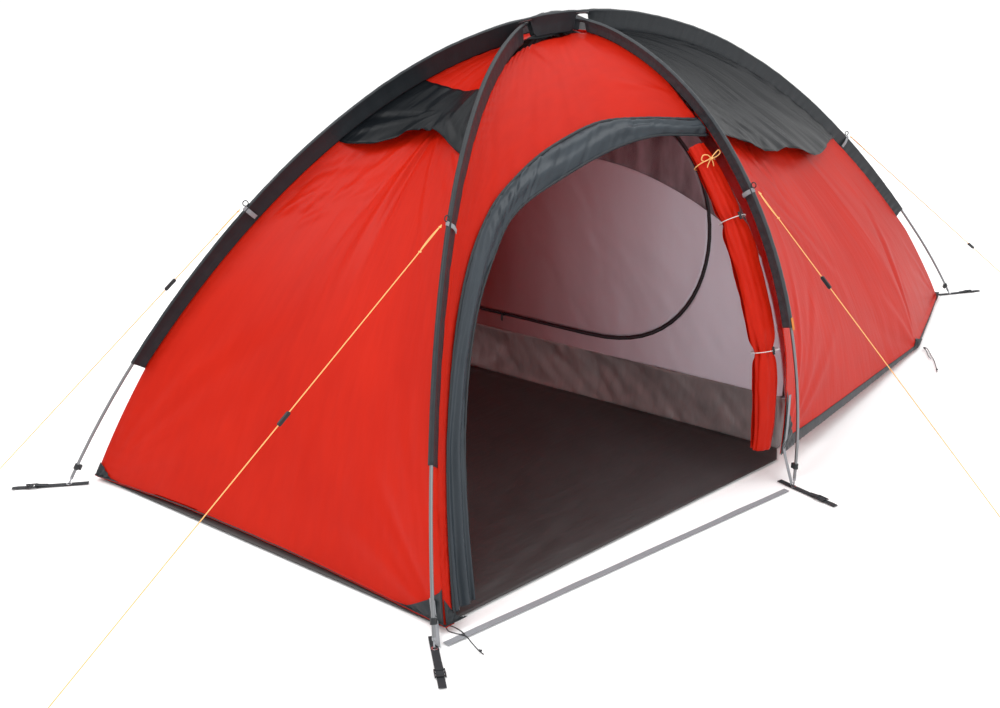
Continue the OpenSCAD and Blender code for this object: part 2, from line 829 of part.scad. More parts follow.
module door_outline(grow) {
    reach = door_w * 0.48 + grow;
    half = door_half_h + grow;
    left = hinge_x - grow;
    drop = 230;
    polygon(concat(
        [for (a = [-90 : 6 : 90])
            [door_mid_x + reach * pow(cos(a), 0.8), door_mid_z + half * sin(a)]],
        [for (k = [1 : 6])
            [mix(door_mid_x, left, k / 6), door_mid_z + half - drop * (k / 6) ^ 2]],
        [[left, door_mid_z - half]]));
}

// Stands an outline up in the plane of the inner front wall
module in_front_wall() {
    translate([0, room_front + cloth, 0]) rotate([90, 0, 0]) linear_extrude(cloth) children();
}

door_play = 2;

// Keeps only what lies right of the hinge line
module right_of_hinge(gap) {
    difference() {
        children();
        translate([hinge_x - gap - 100, 0]) square([100, 2 * room_height]);
    }
}

module wall_outline() {
    difference() {
        arch_outline();
        translate([-room_half - 100, -10]) square([2 * room_half + 200, tub_h + 10 + layer_gap]);
        right_of_hinge(seam_gap) door_outline(zip_w + 2 * door_play);
    }
}

module room_front_wall() {
    color(pale)
        in_front_wall()
            difference() {
                wall_outline();
                above_mesh(0);
            }
}

module room_front_mesh() {
    color(dark)
        in_front_wall()
            intersection() {
                wall_outline();
                above_mesh(seam_gap);
            }
}

module room_zip() {
    color(dark)
        in_front_wall()
            right_of_hinge(0)
                difference() {
                    door_outline(zip_w + door_play);
                    door_outline(door_play);
                }
}

module room_door() {
    color(pale)
        in_front_wall()
            difference() {
                door_outline(0);
                above_mesh(0);
            }
}

module room_door_mesh() {
    color(dark)
        in_front_wall()
            intersection() {
                door_outline(0);
                above_mesh(seam_gap);
            }
}

slider_x = hinge_x + 130;
slider_z = door_mid_z - door_half_h - door_play - zip_w / 2 - 1;

module zip_slider() {
    color(dark)
        difference() {
            translate([slider_x - 8, room_front - 6.5, slider_z - 4]) cube([16, 5.9, 8]);
            translate([slider_x - 4, room_front - 7, slider_z - 5]) cube([8, 4.7, 10]);
            translate([slider_x - 9, room_front - 4.5, slider_z])
                rotate([0, 90, 0])
                    cylinder(h = 18, r = 1.2, $fn = 20);
        }
}

// Puller: a small pin through the slider and a tab that hangs from it
module zip_puller() {
    color(dark) {
        translate([slider_x - 7.5, room_front - 4.5, slider_z])
            rotate([0, 90, 0])
                cylinder(h = 15, r = 0.9, $fn = 20);
        translate([slider_x - 3, room_front - 9.5, slider_z - 0.6]) cube([6, 5, 1.2]);
        translate([slider_x - 4, room_front - 10.5, slider_z - 24]) cube([8, 1.2, 24.6]);
    }
}

// Canopy of the room: its ridges follow the diagonal poles
ridge_in = 140;
ridge_end_t = 0.86;
arch_top_t = 0.535;

function ridge(v, side) =
    let (t = mix(t_hoop + 0.03, ridge_end_t, v),
         p = diag(t, 1),
         q = p + inward(p, tangent(function (t) diag(t, 1), t)) * ridge_in,
         s = room_arch(arch_top_t),
         start = [s[0], room_front + cloth + 3, s[1] - 4],
         w = mix(start, q, clamp(v * 4, 0, 1)))
    [side * w.x, w.y, w.z];

room_draw = 60;
end_corner = [room_end_half - 8, room_end - 12, tub_end_h + 10];

function room_side(side) =
    let (base_z = tub_h + 6,
         front = function (v)
             let (q = room_arch(mix(0.985, arch_top_t, v)), z = max(q[1], base_z + 200 * v))
             [side * (q[0] - 2), room_front + cloth + 3, v == 0 ? base_z : z],
         low_end = [side * end_corner.x, end_corner.y, end_corner.z],
         back = function (v) mix(low_end, ridge(1, side), v),
         high = function (u) ridge(u, side))
    drawn_in(patch(line_between(front(0), low_end), high, front, back), room_draw);

module room_side_right() {
    color(pale) sheet(room_side(1), 8, 7, u0 = 0.004, u1 = 0.99, v0 = 0.006, v1 = 0.985);
}

module room_side_left() {
    color(pale) sheet(room_side(-1), 8, 7, u0 = 0.004, u1 = 0.99, v0 = 0.006, v1 = 0.985);
}

// Share of the roof's length that is its short foot end wall
end_share = 0.08;

function roof_edge(side) =
    function (v)
        v < end_share ? mix([side * end_corner.x, end_corner.y, end_corner.z], ridge(1, side), v / end_share)
        : ridge(1 - (v - end_share) / (1 - end_share), side);

room_top = patch(
    line_between(roof_edge(-1)(0), roof_edge(1)(0)),
    line_between(ridge(0, -1), ridge(0, 1)),
    roof_edge(-1),
    roof_edge(1));

module room_roof() { color(pale) sheet(room_top, 6, 12, u0 = 0.02, u1 = 0.98, v0 = 0.004, v1 = 0.996); }

// Foot straps: webbing from each hem corner past the foot, with a ladder buckle and a tail

feet = [
    [-front_half, -front_reach], [front_half, -front_reach], [hoop_half, 0], [-hoop_half, 0],
    [rear_half, rear_reach], [-rear_half, rear_reach]
];
strap_turns = [-130, -42, -16, 196, 57, 123];
bar_z = bar_r + web_t + 0.6;

module at_foot(i) {
    translate([feet[i][0], feet[i][1], 0]) rotate([0, 0, strap_turns[i]]) children();
}

// A strip seen from the side: points along its middle, x out and y up
module strip(pts, thick, wide) {
    n = len(pts);
    side = [for (i = [0 : n - 1])
        let (d = unit(pts[min(i + 1, n - 1)] - pts[max(i - 1, 0)])) [-d[1], d[0]] * thick / 2];
    translate([0, wide / 2, 0])
        rotate([90, 0, 0])
            linear_extrude(wide)
                polygon(concat([for (i = [0 : n - 1]) pts[i] + side[i]],
                    [for (i = [n - 1 : -1 : 0]) pts[i] - side[i]]));
}

module foot_straps() {
    loop_r = bar_r + 0.4;
    color(dark)
        for (i = [0 : 5])
            at_foot(i)
                difference() {
                    union() {
                        strip([[-58, web_t / 2], [-20, web_t / 2], [buckle_out - 2, web_t / 2]], web_t, web_w);
                        translate([buckle_out, web_w / 2 - 1, bar_z])
                            rotate([90, 0, 0])
                                cylinder(h = web_w - 2, r = loop_r + web_t, $fn = 32);
                    }
                    translate([buckle_out, web_w / 2 + 1, bar_z])
                        rotate([90, 0, 0])
                            cylinder(h = web_w + 2, r = loop_r, $fn = 32);
                    translate([0, 0, -1]) cylinder(h = web_t + 2, r = grommet_r, $fn = 32);
                }
}

module foot_grommets() {
    color(silver)
        for (i = [0 : 5])
            at_foot(i)
                translate([0, 0, web_t + 0.1])
                    difference() {
                        cylinder(h = 1.2, r = grommet_r + 3.2, $fn = 40);
                        translate([0, 0, -1]) cylinder(h = 4, r = grommet_r - 0.4, $fn = 32);
                    }
}

// Ladder buckle and the loose tail through it
module foot_strap(i) {
    rail_y = web_w / 2 + 0.8;
    rail = 3;
    long = 34;
    second = buckle_out + 14;
    third = buckle_out + 27;
    color(dark)
        at_foot(i) {
            for (y = [-rail_y - rail, rail_y])
                translate([buckle_out - 2.4, y, bar_z - 2.2]) cube([long, rail, 4.4]);
            translate([buckle_out, rail_y + 1, bar_z])
                rotate([90, 0, 0])
                    cylinder(h = 2 * rail_y + 2, r = bar_r, $fn = 28);
            for (x = [second, third])
                translate([x, rail_y + 1, bar_z])
                    rotate([90, 0, 0])
                        cylinder(h = 2 * rail_y + 2, r = bar_r, $fn = 28);
            top_z = bar_z + bar_r + web_t / 2 + 0.4;
            low_z = bar_z - bar_r - web_t / 2 - 0.4;
            strip([
                [second - 6.6, bar_z + 1], [second - 3.6, top_z - 0.4], [second, top_z],
                [second + 4, top_z - 1.4], [second + 6.6, bar_z],
                [third - 4, low_z + 1.2], [third, low_z], [third + 8, web_t / 2 + 0.3],
                [third + 44, web_t / 2 + 0.3]
            ], web_t, web_w - 1);
        }
}

module strap_front_left() { foot_strap(0); }

module strap_front_right() { foot_strap(1); }

module strap_hoop_right() { foot_strap(2); }

module strap_hoop_left() { foot_strap(3); }

module strap_rear_right() { foot_strap(4); }

module strap_rear_left() { foot_strap(5); }

// Flat webbing across the foot of the door
module door_threshold() {
    a = feet[1];
    b = feet[2];
    d = unit(b - a);
    side = [-d[1], d[0]] * web_w / 2;
    keep = 34;
    color("gray")
        linear_extrude(web_t)
            polygon([a + d * keep - side, b - d * keep - side, b - d * keep + side, a + d * keep + side]);
}

// Guy lines: a ring on a sleeve, a taut line and a tensioner that slides on it

guy_pole = [0, 1, 2, 0];
guy_t = [0.245, 0.258, 0.774, 0.678];
ring_r = 8;
ring_wire = 1.6;

function ring_at(i) =
    let (f = paths[guy_pole[i]], p = f(guy_t[i]), n = inward(p, tangent(f, guy_t[i])))
    p - n * (pole_r + 3 + ring_r + ring_wire) + unit(guy_anchors[i] - p) * 3;

function guy_dir(i) = unit(guy_anchors[i] - ring_at(i));

function guy_start(i) = ring_at(i) + guy_dir(i) * (ring_r + ring_wire + 2.5);

module along(p, d) {
    turn = atan2(d.y, d.x);
    fall = acos(d.z);
    translate(p) rotate([0, fall, turn]) children();
}

module guy_rings() {
    color(dark)
        for (i = [0 : 3])
            along(ring_at(i), guy_dir(i))
                rotate([90, 0, 0])
                    rotate_extrude($fn = 48) translate([ring_r, 0]) circle(ring_wire, $fn = 20);
}

function cord_ring(p, d, r) =
    let (s = unit(cross(d, abs(d.z) < 0.9 ? [0, 0, 1] : [1, 0, 0])), t = cross(s, d))
    [for (a = [0 : 45 : 315]) p + r * (cos(a + 22.5) * s + sin(a + 22.5) * t)];

module guy_line(i) {
    a = guy_start(i);
    b = guy_anchors[i];
    d = unit(b - a);
    color(orange) swept([for (k = [0 : 12]) cord_ring(mix(a, b, k / 12), -d, guy_d / 2)]);
}

module guy_front_left() { guy_line(0); }

module guy_front_right() { guy_line(1); }

module guy_side_right() { guy_line(2); }

module guy_rear_right() { guy_line(3); }

// How far down each line its tensioner sits, as a share of the line
tensioner_share = [0.26, 0.44, 0.28, 0.66];

module tensioner(i) {
    a = guy_start(i);
    d = guy_dir(i);
    p = mix(a, guy_anchors[i], tensioner_share[i]);
    color(dark)
        along(p, d)
            difference() {
                union() {
                    translate([-5, -3.2, -tensioner_len / 2]) cube([10, 6.4, tensioner_len]);
                    for (z = [-1, 1])
                        translate([0, 3.2, z * tensioner_len / 2])
                            rotate([90, 0, 0])
                                cylinder(h = 6.4, r = 5, $fn = 32);
                }
                translate([0, 0, -tensioner_len]) cylinder(h = 2 * tensioner_len, r = guy_d / 2 + 0.35, $fn = 24);
            }
}

module tensioner_front_left() { tensioner(0); }

module tensioner_front_right() { tensioner(1); }

module tensioner_side_right() { tensioner(2); }

module tensioner_rear_right() { tensioner(3); }

// Peg loops of thin cord, lying on the ground
peg_cord_d = 3;
peg_rings = 40;

module peg_loop(route) {
    f = function (t) through(route, t);
    color(dark)
        swept([for (i = [0 : peg_rings])
            let (t = i / peg_rings,
                 d = unit(f(min(t + 0.01, 1)) - f(max(t - 0.01, 0))),
                 p = f(t))
            cord_ring([p.x, p.y, max(p.z, peg_cord_d / 2 + 0.2)], -d, peg_cord_d / 2)]);
}

module peg_loop_front() { peg_loop(peg_loop_front_route); }

module peg_loop_side() { peg_loop(peg_loop_side_route); }

pole_left_front();
pole_right_front();
pole_hoop();
pole_inserts();
shock_cords();
pole_tips();
pole_clips();
sleeve_left_front();
sleeve_right_front();
sleeve_hoop();
fly_front();
fly_front_peak();
fly_door_side();
fly_closed_side();
fly_side_right();
fly_side_left();
fly_caps();
fly_rear();
hood_front();
hoods_side();
hem_tapes();
corner_patches();
door_flap();
door_roll();
door_zip();
toggle_ties();
toggle_upper();
toggle_lower();
ground_sheet();
bathtub();
room_front_wall();
room_front_mesh();
room_side_right();
room_side_left();
room_roof();
room_zip();
room_door();
room_door_mesh();
zip_slider();
zip_puller();
door_threshold();
foot_straps();
foot_grommets();
strap_front_left();
strap_front_right();
strap_hoop_right();
strap_hoop_left();
strap_rear_right();
strap_rear_left();
guy_rings();
guy_front_left();
guy_front_right();
guy_side_right();
guy_rear_right();
tensioner_front_left();
tensioner_front_right();
tensioner_side_right();
tensioner_rear_right();
peg_loop_front();
peg_loop_side();
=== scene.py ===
import math
import bpy
import bmesh
import numpy as np
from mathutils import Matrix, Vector


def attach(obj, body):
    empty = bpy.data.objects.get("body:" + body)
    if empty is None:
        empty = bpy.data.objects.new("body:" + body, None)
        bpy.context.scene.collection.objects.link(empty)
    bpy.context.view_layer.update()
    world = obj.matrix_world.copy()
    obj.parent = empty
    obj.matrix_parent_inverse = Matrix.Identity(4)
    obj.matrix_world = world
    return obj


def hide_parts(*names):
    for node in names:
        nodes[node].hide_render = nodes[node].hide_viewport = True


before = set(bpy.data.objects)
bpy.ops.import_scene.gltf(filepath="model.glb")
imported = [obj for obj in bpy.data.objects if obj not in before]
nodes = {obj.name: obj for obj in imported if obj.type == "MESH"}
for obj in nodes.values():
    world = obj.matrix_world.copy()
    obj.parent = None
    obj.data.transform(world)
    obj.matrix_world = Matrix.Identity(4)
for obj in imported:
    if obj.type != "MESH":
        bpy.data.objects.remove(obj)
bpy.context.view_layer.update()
scene = bpy.context.scene
scene.view_settings.view_transform = "Standard"


# the camera
camera = {"place": (2.568, -3.372, 1.642), "turn": (71.446, 0.0, 39.096), "lens": 46.7}

camData = bpy.data.cameras.new("camera")
camData.lens = camera["lens"]
camData.clip_end = 60
cam = bpy.data.objects.new("camera", camData)
cam.location = camera["place"]
cam.rotation_euler = [math.radians(a) for a in camera["turn"]]
scene.collection.objects.link(cam)
scene.camera = cam


# vectors are numpy arrays with x, y and z in the last axis
def vec(*parts):
    return np.stack(np.broadcast_arrays(*[np.asarray(p, float) for p in parts]), -1)


def unit(v):
    return v / np.maximum(np.linalg.norm(v, axis=-1, keepdims=True), 1e-12)


def dot(a, b):
    return (a * b).sum(-1, keepdims=True)


def mix(a, b, t):
    return a * (1 - t) + b * t


def smooth(low, high, x):
    s = np.clip((x - low) / (high - low), 0, 1)
    return s * s * (3 - 2 * s)


def ripple(x, y, seed):
    # soft noise between -1 and 1 on a lattice of unit cells
    ix, iy = np.floor(x), np.floor(y)
    fx, fy = x - ix, y - iy
    fx, fy = fx * fx * (3 - 2 * fx), fy * fy * (3 - 2 * fy)

    def corner(i, j):
        h = np.sin((ix + i) * 127.1 + (iy + j) * 311.7 + seed * 74.7) * 43758.5453
        return 2 * (h - np.floor(h)) - 1

    low = corner(0, 0) * (1 - fx) + corner(1, 0) * fx
    high = corner(0, 1) * (1 - fx) + corner(1, 1) * fx
    return low * (1 - fy) + high * fy


# the three bent poles and the panels between them
tent = {
    "frontHalf": 0.75, "frontReach": 1.38, "hoopHalf": 0.98, "rearHalf": 0.54, "rearReach": 2.41,
    "poleHeight": 1.3, "poleBow": 0.28, "hoopLean": 0.12, "hoopHeight": 1.33771,
    "rise": 1.818, "fullness": 0.31, "bowFront": 0.13, "poleStep": 0.014,
    "tubes": (10, 10, 7), "tipLength": 0.028, "seamIn": 0.0365, "cornerIn": 0.04, "cornerHeight": 0.014,
    "panelDraw": 0.05, "crossAt": 0.413313, "hoopAt": 0.449259, "hoopCross": 0.527934,
}
heart = np.array([0.0, (tent["rearReach"] - tent["frontReach"]) / 3, tent["poleHeight"] * 0.2])
diagMid = np.array([tent["rearHalf"] - tent["frontHalf"], tent["rearReach"] - tent["frontReach"]]) / 2
diagArm = np.array([tent["rearHalf"] + tent["frontHalf"], tent["rearReach"] + tent["frontReach"]]) / 2
diagSide = np.array([diagArm[1], -diagArm[0]]) / np.linalg.norm(diagArm)


def diagCurve(t, side, up=0.0):
    t = np.asarray(t, float)
    s = -np.cos(np.pi * t)
    k = np.maximum(np.sin(np.pi * t), 0) ** tent["rise"]
    bow = (tent["poleBow"] - tent["bowFront"] * s) * k
    x = diagMid[0] + s * diagArm[0] + bow * diagSide[0]
    y = diagMid[1] + s * diagArm[1] + bow * diagSide[1]
    return vec(side * x, y, (tent["poleHeight"] * (1 - tent["fullness"] * s) + up) * k)


def hoopCurve(t):
    t = np.asarray(t, float)
    c = np.cos(np.pi * t)
    k = np.maximum(np.sin(np.pi * t), 0) ** 0.975
    return vec(-np.sign(c) * np.abs(c) ** 1.08 * tent["hoopHalf"], tent["hoopLean"] * k,
               tent["hoopHeight"] * k)


def slope(curve, t):
    return unit(curve(t + 0.002) - curve(t - 0.002))


def inward(p, d):
    c = heart - p
    return unit(c - dot(c, d) * d)


def arcPoint(a, b, c, s):
    u = unit(b - a)
    w = unit(np.cross(b - a, c - a))
    v = np.cross(w, u)
    bx, cx, cy = np.linalg.norm(b - a), np.dot(c - a, u), np.dot(c - a, v)
    h = ((cx - bx / 2) ** 2 + cy ** 2 - (bx / 2) ** 2) / (2 * cy)
    centre = a + u * bx / 2 + v * h
    r = np.linalg.norm(centre - a)
    ex = (a - centre) / r
    ey = np.cross(w, ex)
    turn = math.atan2(np.dot(c - centre, ey), np.dot(c - centre, ex)) * s
    return centre + r * (math.cos(turn) * ex + math.sin(turn) * ey)


def polePath(which):
    # the line of a pole built from tubes that are each bent to one arc
    curve = [lambda t: diagCurve(t, 1, 2 * tent["poleStep"]),
             lambda t: diagCurve(t, -1, tent["poleStep"]), hoopCurve][which]
    ts = np.linspace(0, 1, 81)
    lengths = np.concatenate([[0], np.cumsum(np.linalg.norm(np.diff(curve(ts), axis=0), axis=1))])
    n = tent["tubes"][which]
    tube = (lengths[-1] - 2 * tent["tipLength"]) / n

    def at(length):
        return curve(np.interp(length, lengths, ts))

    outT, outP = [], []
    for i in range(n):
        start = tent["tipLength"] + i * tube
        a, b, c = at(start), at(start + tube / 2), at(start + tube)
        for k in range(16):
            outT.append(np.interp(start + tube * k / 16, lengths, ts))
            outP.append(arcPoint(a, b, c, k / 16))
    outT, outP = np.array(outT), np.array(outP)
    return lambda t: np.stack([np.interp(t, outT, outP[:, k]) for k in range(3)], -1)


paths = [polePath(0), polePath(1), polePath(2)]


def seamOf(curve, t):
    p = curve(t)
    d = slope(curve, t)
    drop = tent["seamIn"] + tent["cornerIn"] * np.clip(1 - p[..., 2:3] / 0.4, 0, 1)
    q = p + inward(p, d) * drop
    q[..., 2] = np.maximum(q[..., 2], tent["cornerHeight"])
    return q


def diagSeam(t, side):
    return seamOf(lambda x: diagCurve(x, side), np.asarray(t, float))


def hoopSeam(t):
    return seamOf(hoopCurve, np.asarray(t, float))


def line(a, b):
    return lambda u: mix(a, b, np.asarray(u, float)[..., None])


def bowed(a, b, bow):
    return lambda u: line(a, b)(u) + np.array([0, bow, 0]) * (4 * u * (1 - u))[..., None]


def patch(below, above, left, right):
    zero, one = np.array(0.0), np.array(1.0)
    p00, p10, p01, p11 = below(zero), below(one), above(zero), above(one)

    def surface(u, v):
        cu, cv = u[..., None], v[..., None]
        return ((1 - cv) * below(u) + cv * above(u) + (1 - cu) * left(v) + cu * right(v)
                - (1 - cu) * (1 - cv) * p00 - cu * (1 - cv) * p10 - (1 - cu) * cv * p01 - cu * cv * p11)

    return surface


def drawnIn(surface, by):
    def drawn(u, v):
        p = surface(u, v)
        return p + unit(heart - p) * by * (16 * u * (1 - u) * v * (1 - v))[..., None]

    return drawn


tFront, tRear, tHoopFoot = 0.03, 0.965, 0.982
crossAt, hoopAt, hoopCross = tent["crossAt"], tent["hoopAt"], tent["hoopCross"]
pegU, pegAt, pegOut = 0.006 + 0.988 * 0.7, 0.656, 0.09


def mirrored(p, side):
    return p * np.array([side, 1, 1])


def vestibuleSide(side):
    def foot(v):
        return diagSeam(mix(tFront, crossAt, v), -side)

    def arch(v):
        return mirrored(hoopSeam(mix(tHoopFoot, hoopCross, v)), side)

    return drawnIn(patch(line(foot(0.0), arch(0.0)), line(foot(1.0), arch(1.0)), foot, arch),
                   tent["panelDraw"])


def sleepingSide(side):
    def arch(v):
        return mirrored(hoopSeam(mix(tHoopFoot, hoopCross, v)), side)

    def foot(v):
        return diagSeam(mix(tRear, hoopAt, v), side)

    def footIn(v):
        return foot(v) + vec(side * 0.025 * v, 0.025 * v, 0 * v)

    a, b = arch(0.0), foot(0.0)
    peg = mix(a, b, pegAt) + np.array([side * pegOut, 0, 0])
    low = np.array([peg[0], peg[1], 0.005])

    def base(u):
        u = np.asarray(u, float)[..., None]
        return np.where(u < pegU, mix(a, low, u / pegU), mix(low, b, (u - pegU) / (1 - pegU)))

    return drawnIn(patch(base, line(arch(1.0), footIn(1.0)), arch, footIn), tent["panelDraw"])


frontFace = drawnIn(patch(
    bowed(diagSeam(tFront, 1), diagSeam(tFront, -1), 0.03),
    line(diagSeam(crossAt, 1), diagSeam(crossAt, -1) + np.array([0.001, 0, 0])),
    lambda v: diagSeam(mix(tFront, crossAt, v), 1),
    lambda v: diagSeam(mix(tFront, crossAt, v), -1) + vec(0.001 * v, 0 * v, 0 * v)), tent["panelDraw"])
rearFace = drawnIn(patch(
    bowed(diagSeam(tRear, -1), diagSeam(tRear, 1), -0.03),
    lambda u: hoopSeam(mix(1 - hoopCross, hoopCross, u)),
    lambda v: diagSeam(mix(tRear, hoopAt, v), -1),
    lambda v: diagSeam(mix(tRear, hoopAt, v), 1)), tent["panelDraw"])
crownFace = patch(
    lambda u: hoopSeam(mix(1 - hoopCross, hoopCross, u)),
    line(diagSeam(crossAt, -1) - np.array([0.001, 0, 0]), diagSeam(crossAt, 1) + np.array([0.001, 0, 0])),
    lambda v: diagSeam(mix(hoopAt, crossAt, v), -1) - vec(0.001 * v, 0 * v, 0 * v),
    lambda v: diagSeam(mix(hoopAt, crossAt, v), 1) + vec(0.001 * v, 0 * v, 0 * v))
doorSide, closedSide = vestibuleSide(1), vestibuleSide(-1)
rightSide, leftSide = sleepingSide(1), sleepingSide(-1)
print("curves ready")


class Wire:
    # a socket that takes part in Python expressions; each operator adds a Math node
    def __init__(self, tree, socket):
        self.tree = tree
        self.socket = socket

    def math(self, op, a, b=None, c=None):
        node = self.tree.nodes.new("ShaderNodeMath")
        node.operation = op
        for i, x in enumerate((a, b, c)):
            if x is None:
                continue
            if isinstance(x, Wire):
                self.tree.links.new(x.socket, node.inputs[i])
            else:
                node.inputs[i].default_value = x
        return Wire(self.tree, node.outputs[0])

    def __add__(self, other):
        return self.math("ADD", self, other)

    __radd__ = __add__

    def __sub__(self, other):
        return self.math("SUBTRACT", self, other)

    def __rsub__(self, other):
        return self.math("SUBTRACT", other, self)

    def __mul__(self, other):
        return self.math("MULTIPLY", self, other)

    __rmul__ = __mul__

    def __truediv__(self, other):
        return self.math("DIVIDE", self, other)

    def __abs__(self):
        return self.math("ABSOLUTE", self)

    def __mod__(self, other):
        return self.math("FLOORED_MODULO", self, other)

    def clamp(self, low=0.0, high=1.0):
        return self.math("MINIMUM", self.math("MAXIMUM", self, low), high)


class Finish:
    # a material under construction
    def __init__(self, name):
        self.material = bpy.data.materials.new(name)
        self.material.use_nodes = True
        self.tree = self.material.node_tree
        self.tree.nodes.clear()

    def node(self, kind, settings=None, inputs=None, out=0):
        made = self.tree.nodes.new("ShaderNode" + kind)
        for key, value in (settings or {}).items():
            setattr(made, key, value)
        for key, value in (inputs or {}).items():
            socket = made.inputs[key]
            if isinstance(value, Wire):
                self.tree.links.new(value.socket, socket)
            else:
                socket.default_value = value
        return Wire(self.tree, made.outputs[out]) if made.outputs else None

    def place(self):
        return self.node("TexCoord", out="Object")

    def weaveMap(self):
        return self.node("UVMap", {"uv_map": "weave"})

    def split(self, wire):
        made = self.node("SeparateXYZ", inputs={0: wire})
        node = made.socket.node
        return [Wire(self.tree, node.outputs[i]) for i in range(3)]

    def scaled(self, wire, scale, turn=(0, 0, 0)):
        return self.node("Mapping", inputs={"Vector": wire, "Scale": scale, "Rotation": turn})

    def noise(self, wire, scale, detail=2.0, rough=0.5):
        values = {"Vector": wire, "Scale": scale, "Detail": detail, "Roughness": rough}
        return self.node("TexNoise", inputs=values)

    def blend(self, factor, a, b):
        def colour(x):
            return x if isinstance(x, Wire) else (*x, 1)
        return self.node("Mix", {"data_type": "RGBA"}, {0: factor, 6: colour(a), 7: colour(b)}, out=2)

    def bump(self, height, strength, distance, under=None):
        inputs = {"Height": height, "Strength": strength, "Distance": distance}
        if under is not None:
            inputs["Normal"] = under
        return self.node("Bump", inputs=inputs)

    def done(self, share=0.0, tint=None, **values):
        # share is how much of the light from behind comes through, in the colour tint
        named = {k.replace("_", " "): (*v, 1) if isinstance(v, tuple) else v for k, v in values.items()}
        shader = self.node("BsdfPrincipled", inputs=named)
        if share > 0:
            back = self.node("BsdfTranslucent", inputs={"Color": (*tint, 1)})
            shader = self.node("MixShader", inputs={0: share, 1: shader, 2: back})
        self.node("OutputMaterial", inputs={"Surface": shader})
        return self.material


def clothFinish(name, colour, dark, rough, crinkle=0.5, thread=0.0009, share=0.0, tint=None, shine=0.25):
    # woven cloth: crossed threads, soft creases, slight changes of colour and gloss
    m = Finish(name)
    weave = m.weaveMap()
    x, y, _ = m.split(weave)
    warp = abs((x / thread) % 1.0 - 0.5)
    weft = abs((y / thread) % 1.0 - 0.5)
    broad = m.noise(weave, 2.2, 3.0)
    fine = m.noise(m.scaled(weave, (1.0, 0.28, 1.0), (0, 0, 0.5)), 34.0, 3.0)
    crease = m.noise(m.scaled(weave, (1.0, 0.22, 1.0), (0, 0, -0.35)), 9.0, 4.0, 0.55)
    shade = (broad * 0.6 + fine * 0.4 - 0.25) * 1.6
    base = m.blend(shade.clamp(), dark, colour)
    gloss = (fine * 0.12 + (rough - 0.06)).clamp()
    normal = m.bump(crease * 0.8 + fine * 0.2, crinkle, 0.012)
    normal = m.bump(warp + weft, 0.12, 0.0002, normal)
    return m.done(share, tint, Base_Color=base, Roughness=gloss, Normal=normal, Specular_IOR_Level=shine)


def webbingFinish(name, colour, dark):
    m = Finish(name)
    weave = m.weaveMap()
    x, y, _ = m.split(weave)
    rib = abs((x / 0.0022) % 1.0 - 0.5) * 2
    rows = abs(((y + x * 0.5) / 0.003) % 1.0 - 0.5) * 2
    worn = m.noise(weave, 60.0, 3.0)
    base = m.blend((rib * 0.5 + rows * 0.3 + worn * 0.4 - 0.15).clamp(), dark, colour)
    return m.done(Base_Color=base, Roughness=worn * 0.2 + 0.55,
                  Normal=m.bump(rib * 0.6 + rows * 0.6, 0.6, 0.0006),
                  Specular_IOR_Level=0.3)


def plasticFinish(name, colour, rough):
    m = Finish(name)
    place = m.place()
    grain = m.noise(place, 900.0, 2.0)
    scuff = m.noise(place, 60.0, 4.0)
    base = m.blend(scuff.clamp(), tuple(0.75 * c for c in colour), colour)
    return m.done(Base_Color=base, Roughness=scuff * 0.18 + (rough - 0.09),
                  Normal=m.bump(grain, 0.12, 0.0002),
                  Specular_IOR_Level=0.3)


def metalFinish(name, colour, rough):
    m = Finish(name)
    place = m.place()
    streak = m.noise(place, 160.0, 3.0)
    smudge = m.noise(place, 9.0, 3.0)
    base = m.blend((smudge * 0.7 + streak * 0.3).clamp(), tuple(0.8 * c for c in colour), colour)
    return m.done(Base_Color=base, Metallic=1.0, Roughness=streak * 0.14 + smudge * 0.1 + (rough - 0.12),
                  Normal=m.bump(streak, 0.06, 0.0002))


def cordFinish(name, colour, dark, pitch):
    # braid: two crossing spirals on the cord's own map, x round it and y along it
    m = Finish(name)
    x, y, _ = m.split(m.weaveMap())
    one = abs((x * 4 + y / pitch) % 1.0 - 0.5) * 2
    two = abs((x * 4 - y / pitch) % 1.0 - 0.5) * 2
    braid = one * two
    return m.done(Base_Color=m.blend(braid.clamp(), dark, colour), Roughness=0.6,
                  Normal=m.bump(braid, 0.5, 0.0004))


def plainCordFinish(name, colour, dark):
    m = Finish(name)
    place = m.place()
    braid = m.node("TexWave", {"bands_direction": "DIAGONAL"},
                   {"Vector": place, "Scale": 260.0, "Distortion": 1.5})
    fuzz = m.noise(place, 400.0, 2.0)
    return m.done(Base_Color=m.blend(braid, dark, colour), Roughness=fuzz * 0.2 + 0.5,
                  Normal=m.bump(braid, 0.4, 0.0004))


